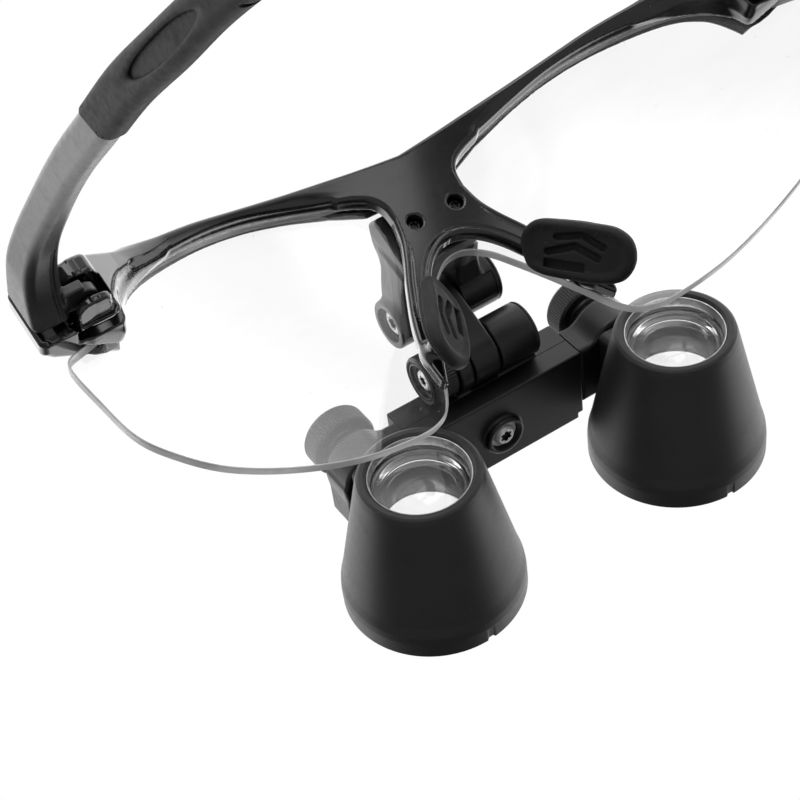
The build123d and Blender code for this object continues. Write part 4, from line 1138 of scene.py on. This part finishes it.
def temple(x, y, z):
    f = temple_blank(x, y, z)
    f = rmax(f, y + 36.2, 0.35)
    # the bare core that the soft tip is pushed on to
    core = rmax(temple_blank(x, y, z, -1.3, 1.0), -105.0 - y, 0.5)
    f = rmax(f, -96.6 - y, 0.2)
    f = np.minimum(f, np.maximum(core, y + 90.0))
    # hinge eye
    eye = np.minimum(cyl(x, y, 69.5, -38.0, 2.3), rmax(slab(x, 69.5, 73.2), slab(y, -41.6, -36.7), 0.4))
    f = rmin(f, rmax(eye, slab(z, 38.0, 39.9), 0.35), 0.4)
    f = rmax(f, -np.maximum(cyl(x, y, 69.5, -38.0, 1.04), slab(z, 37.5, 40.4)), 0.06)
    low = np.hypot(line2(x, y, [(74.0, -36.6), (74.1, -41.0), (73.7, -46.5), (72.9, -52.0)]), z - f_bot(y)) - 0.36
    f = rmax(f, -low, 0.1)
    return f


def temple_tip(x, y, z):
    end = rmax(temple_blank(x, y, z, 0.3, 1.7), -156.6 - y, 2.4)
    # front edge of the soft sleeve runs at a slant, with a rounded lip
    front = (y + 95.2) * 0.97 - (z - 28.5) * 0.16
    f = rmax(end, front, 0.45)
    f = rmax(f, -np.maximum(temple_blank(x, y, z, -1.2, 1.0), -105.2 - y), 0.1)
    f = rmax(f, -np.maximum(temple_blank(x, y, z, 0.05, 1.55), -96.8 - y), 0.1)
    mid = (f_top(y) + f_bot(y)) / 2
    # long oval relief on both faces
    for sgn, fx in ((1, f_out(y)), (-1, f_in(y))):
        u = (y + 122.0) / 10.5
        v = (z - mid) / 1.7
        oval = (np.hypot(u, v) - 1) * 1.7
        cut = np.maximum(oval, -(sgn * (x - fx)) - 0.5)
        f = rmax(f, -cut, 0.55)
    # grip lines along the lower edge
    for yy in np.arange(-150, -137, 2.6):
        g = np.hypot((y - yy) * 0.9, z - f_bot(y) + 0.1) - 0.4
        f = rmax(f, -g, 0.12)
    return f


solid("temple", temple, (66.4, -97.0, 24.5), (79.6, -35.5, 48.4), 0.22, "temple", TEMPLE, ["temple"], both_sides=True)
solid("temple_tip", temple_tip, (54.5, -157.6, -7.5), (72.4, -92.0, 34.4), 0.24, "temple", RUBBER, ["temple_tip"], both_sides=True)
for i, sx in enumerate((-69.5, 69.5)):
    screw_head("hinge_pin_%d" % (i + 1), from_eye((sx, -38.0, 45.1)), (0, 0, 1), 1.3, 0.4, 0.7, 0.25, "frame", BLACK_STEEL, ["hinge_pins"], dome=0.12, shank=9.0, shank_r=0.88)

# =============================================================== CAD pieces kept
KEEP = {"friction_leaf": SPRING}
for nm, ob in NODES.items():
    if ob.hide_render:
        continue
    mt = KEEP.get(nm, SATIN)
    if not ob.data.materials:
        ob.data.materials.append(mt)
    for s in ob.material_slots:
        s.material = mt

# =============================================================== studio
cam_data = bpy.data.cameras.new("camera")
cam_data.lens, cam_data.sensor_width = 90.0, 36.0
cam_data.clip_start, cam_data.clip_end = 0.01, 20
cam = bpy.data.objects.new("camera", cam_data)
bpy.context.scene.collection.objects.link(cam)
right = Vector((0.829811, -0.08867, -0.550956))
down = Vector((-0.451332, 0.474011, -0.756051))
ahead = Vector((0.328198, 0.876043, 0.35332))
cam.matrix_world = Matrix((
    (right.x, -down.x, -ahead.x, -0.1378665),
    (right.y, -down.y, -ahead.y, -0.2909934),
    (right.z, -down.z, -ahead.z, -0.1264326),
    (0, 0, 0, 1)))
bpy.context.scene.camera = cam


def stage_mat(name, colour, emit=0.0):
    m, nt, b = node_mat(name)
    b.inputs["Base Color"].default_value = (*colour, 1)
    b.inputs["Roughness"].default_value = 0.9
    b.inputs["Specular IOR Level"].default_value = 0.1
    if emit:
        b.inputs["Emission Color"].default_value = (*colour, 1)
        b.inputs["Emission Strength"].default_value = emit
    return m


floor_mat, nt, b = node_mat("floor")
b.inputs["Roughness"].default_value = 0.9
b.inputs["Base Color"].default_value = (0.86, 0.86, 0.86, 1)
geo = add(nt, "ShaderNodeNewGeometry")
tr = add(nt, "ShaderNodeBsdfTransparent")
mx = add(nt, "ShaderNodeMixShader")
nt.links.new(geo.outputs["Backfacing"], mx.inputs[0])
nt.links.new(b.outputs[0], mx.inputs[1])
nt.links.new(tr.outputs[0], mx.inputs[2])
nt.links.new(mx.outputs[0], nt.nodes["Material Output"].inputs["Surface"])


def panel(name, centre, size, facing, mat):
    me = bpy.data.meshes.new(name)
    a, b = size[0] / 2, size[1] / 2
    me.from_pydata([(-a, -b, 0), (a, -b, 0), (a, b, 0), (-a, b, 0)], [], [(0, 1, 2, 3)])
    me.materials.append(mat)
    ob = bpy.data.objects.new(name, me)
    bpy.context.scene.collection.objects.link(ob)
    ob.rotation_mode = "QUATERNION"
    ob.location = centre
    ob.rotation_quaternion = Vector(facing).to_track_quat("Z", "Y")
    return ob


floor = panel("floor", (0, 0, -0.26), (3.0, 3.0), (0, 0, 1), floor_mat)
floor.visible_glossy = False
floor.visible_diffuse = False
target = Vector((0, -0.01, 0.0))


def soft_light(name, direction, dist, size, power, size_y=None):
    ld = bpy.data.lights.new(name, "AREA")
    ld.shape = "RECTANGLE"
    ld.size, ld.size_y = size, size_y or size
    ld.energy = power
    ob = bpy.data.objects.new(name, ld)
    bpy.context.scene.collection.objects.link(ob)
    d = Vector(direction).normalized()
    ob.rotation_mode = "QUATERNION"
    ob.location = target + d * dist
    ob.rotation_quaternion = (-d).to_track_quat("-Z", "Y")
    ob.rotation_quaternion = d.to_track_quat("Z", "Y")
    ob.visible_camera = False
    ob.visible_glossy = False
    return ob


up = -down
soft_light("top_box", up * 0.9 - ahead * 0.35 + right * 0.1, 0.75, 0.7, 2.2, 0.5)
soft_light("left_box", -right * 0.95 - ahead * 0.25 + up * 0.1, 0.7, 0.5, 1.6, 0.8)
soft_light("right_box", right * 0.95 - ahead * 0.2, 0.75, 0.4, 1.3, 0.8)

world = bpy.data.worlds.new("studio")
bpy.context.scene.world = world
world.use_nodes = True
wt = world.node_tree
bg = wt.nodes["Background"]
tc = add(wt, "ShaderNodeTexCoord")


def along(v):
    n = add(wt, "ShaderNodeVectorMath", operation="DOT_PRODUCT")
    n.inputs[1].default_value = tuple(v)
    wt.links.new(tc.outputs["Generated"], n.inputs[0])
    return n.outputs["Value"]


def mul(a, b):
    return mathn(wt, "MULTIPLY", a, b)


def plus(a, b):
    return mathn(wt, "ADD", a, b)


# a white sweep behind the object, a wide box above, a dim room on the near side, dark below
w_a, w_u, w_r = along(ahead), along(up), along(right)
sweep = mul(remap(wt, w_a, -0.36, 0.22, 0.0, 1.55), remap(wt, plus(w_u, mul(w_a, 0.9)), -0.45, -0.02, 0.0, 1.0))
above = mul(remap(wt, w_u, 0.55, 0.97, 0.0, 0.3), remap(wt, w_r, -0.3, 0.4, 0.2, 1.0))
near = remap(wt, w_a, -0.2, -0.42, 0.0, 1.0)
room = mul(remap(wt, w_a, 0.05, -0.4, 0.05, 0.36), remap(wt, mul(remap(wt, w_u, 0.2, 0.6, 0.0, 1.0), near), 0.0, 1.0, 1.0, 0.35))
left = mul(mul(remap(wt, w_r, 0.13, -0.06, 0.0, 2.6), remap(wt, w_u, 0.35, 0.75, 0.0, 1.0)), near)
cloud = noise(wt, tc.outputs["Generated"], 2.3, 1, 0.4)
w_s = plus(w_r, mul(plus(cloud, -0.5), 0.35))
bars = plus(mul(remap(wt, w_s, 0.33, 0.38, 0.0, 1.0), remap(wt, w_s, 0.62, 0.5, 0.25, 1.4)), mul(remap(wt, w_s, 0.24, 0.19, 0.0, 0.7), remap(wt, w_s, 0.08, 0.13, 0.0, 1.0)))
patch = mul(mul(bars, remap(wt, w_u, 0.4, 0.6, 0.0, 1.0)), near)
side_v = plus(plus(sweep, above), plus(room, plus(left, patch)))
lp_ = add(wt, "ShaderNodeLightPath")
seen = mathn(wt, "MAXIMUM", lp_.outputs["Is Camera Ray"], lp_.outputs["Is Transmission Ray"])
val = add(wt, "ShaderNodeMix", data_type="FLOAT")
wt.links.new(seen, val.inputs[0])
wt.links.new(side_v, val.inputs[2])
val.inputs[3].default_value = 1.0
comb = add(wt, "ShaderNodeCombineColor")
for k in range(3):
    wt.links.new(val.outputs[0], comb.inputs[k])
wt.links.new(comb.outputs[0], bg.inputs["Color"])
bg.inputs["Strength"].default_value = 1.0
bpy.context.scene.view_settings.view_transform = "Standard"
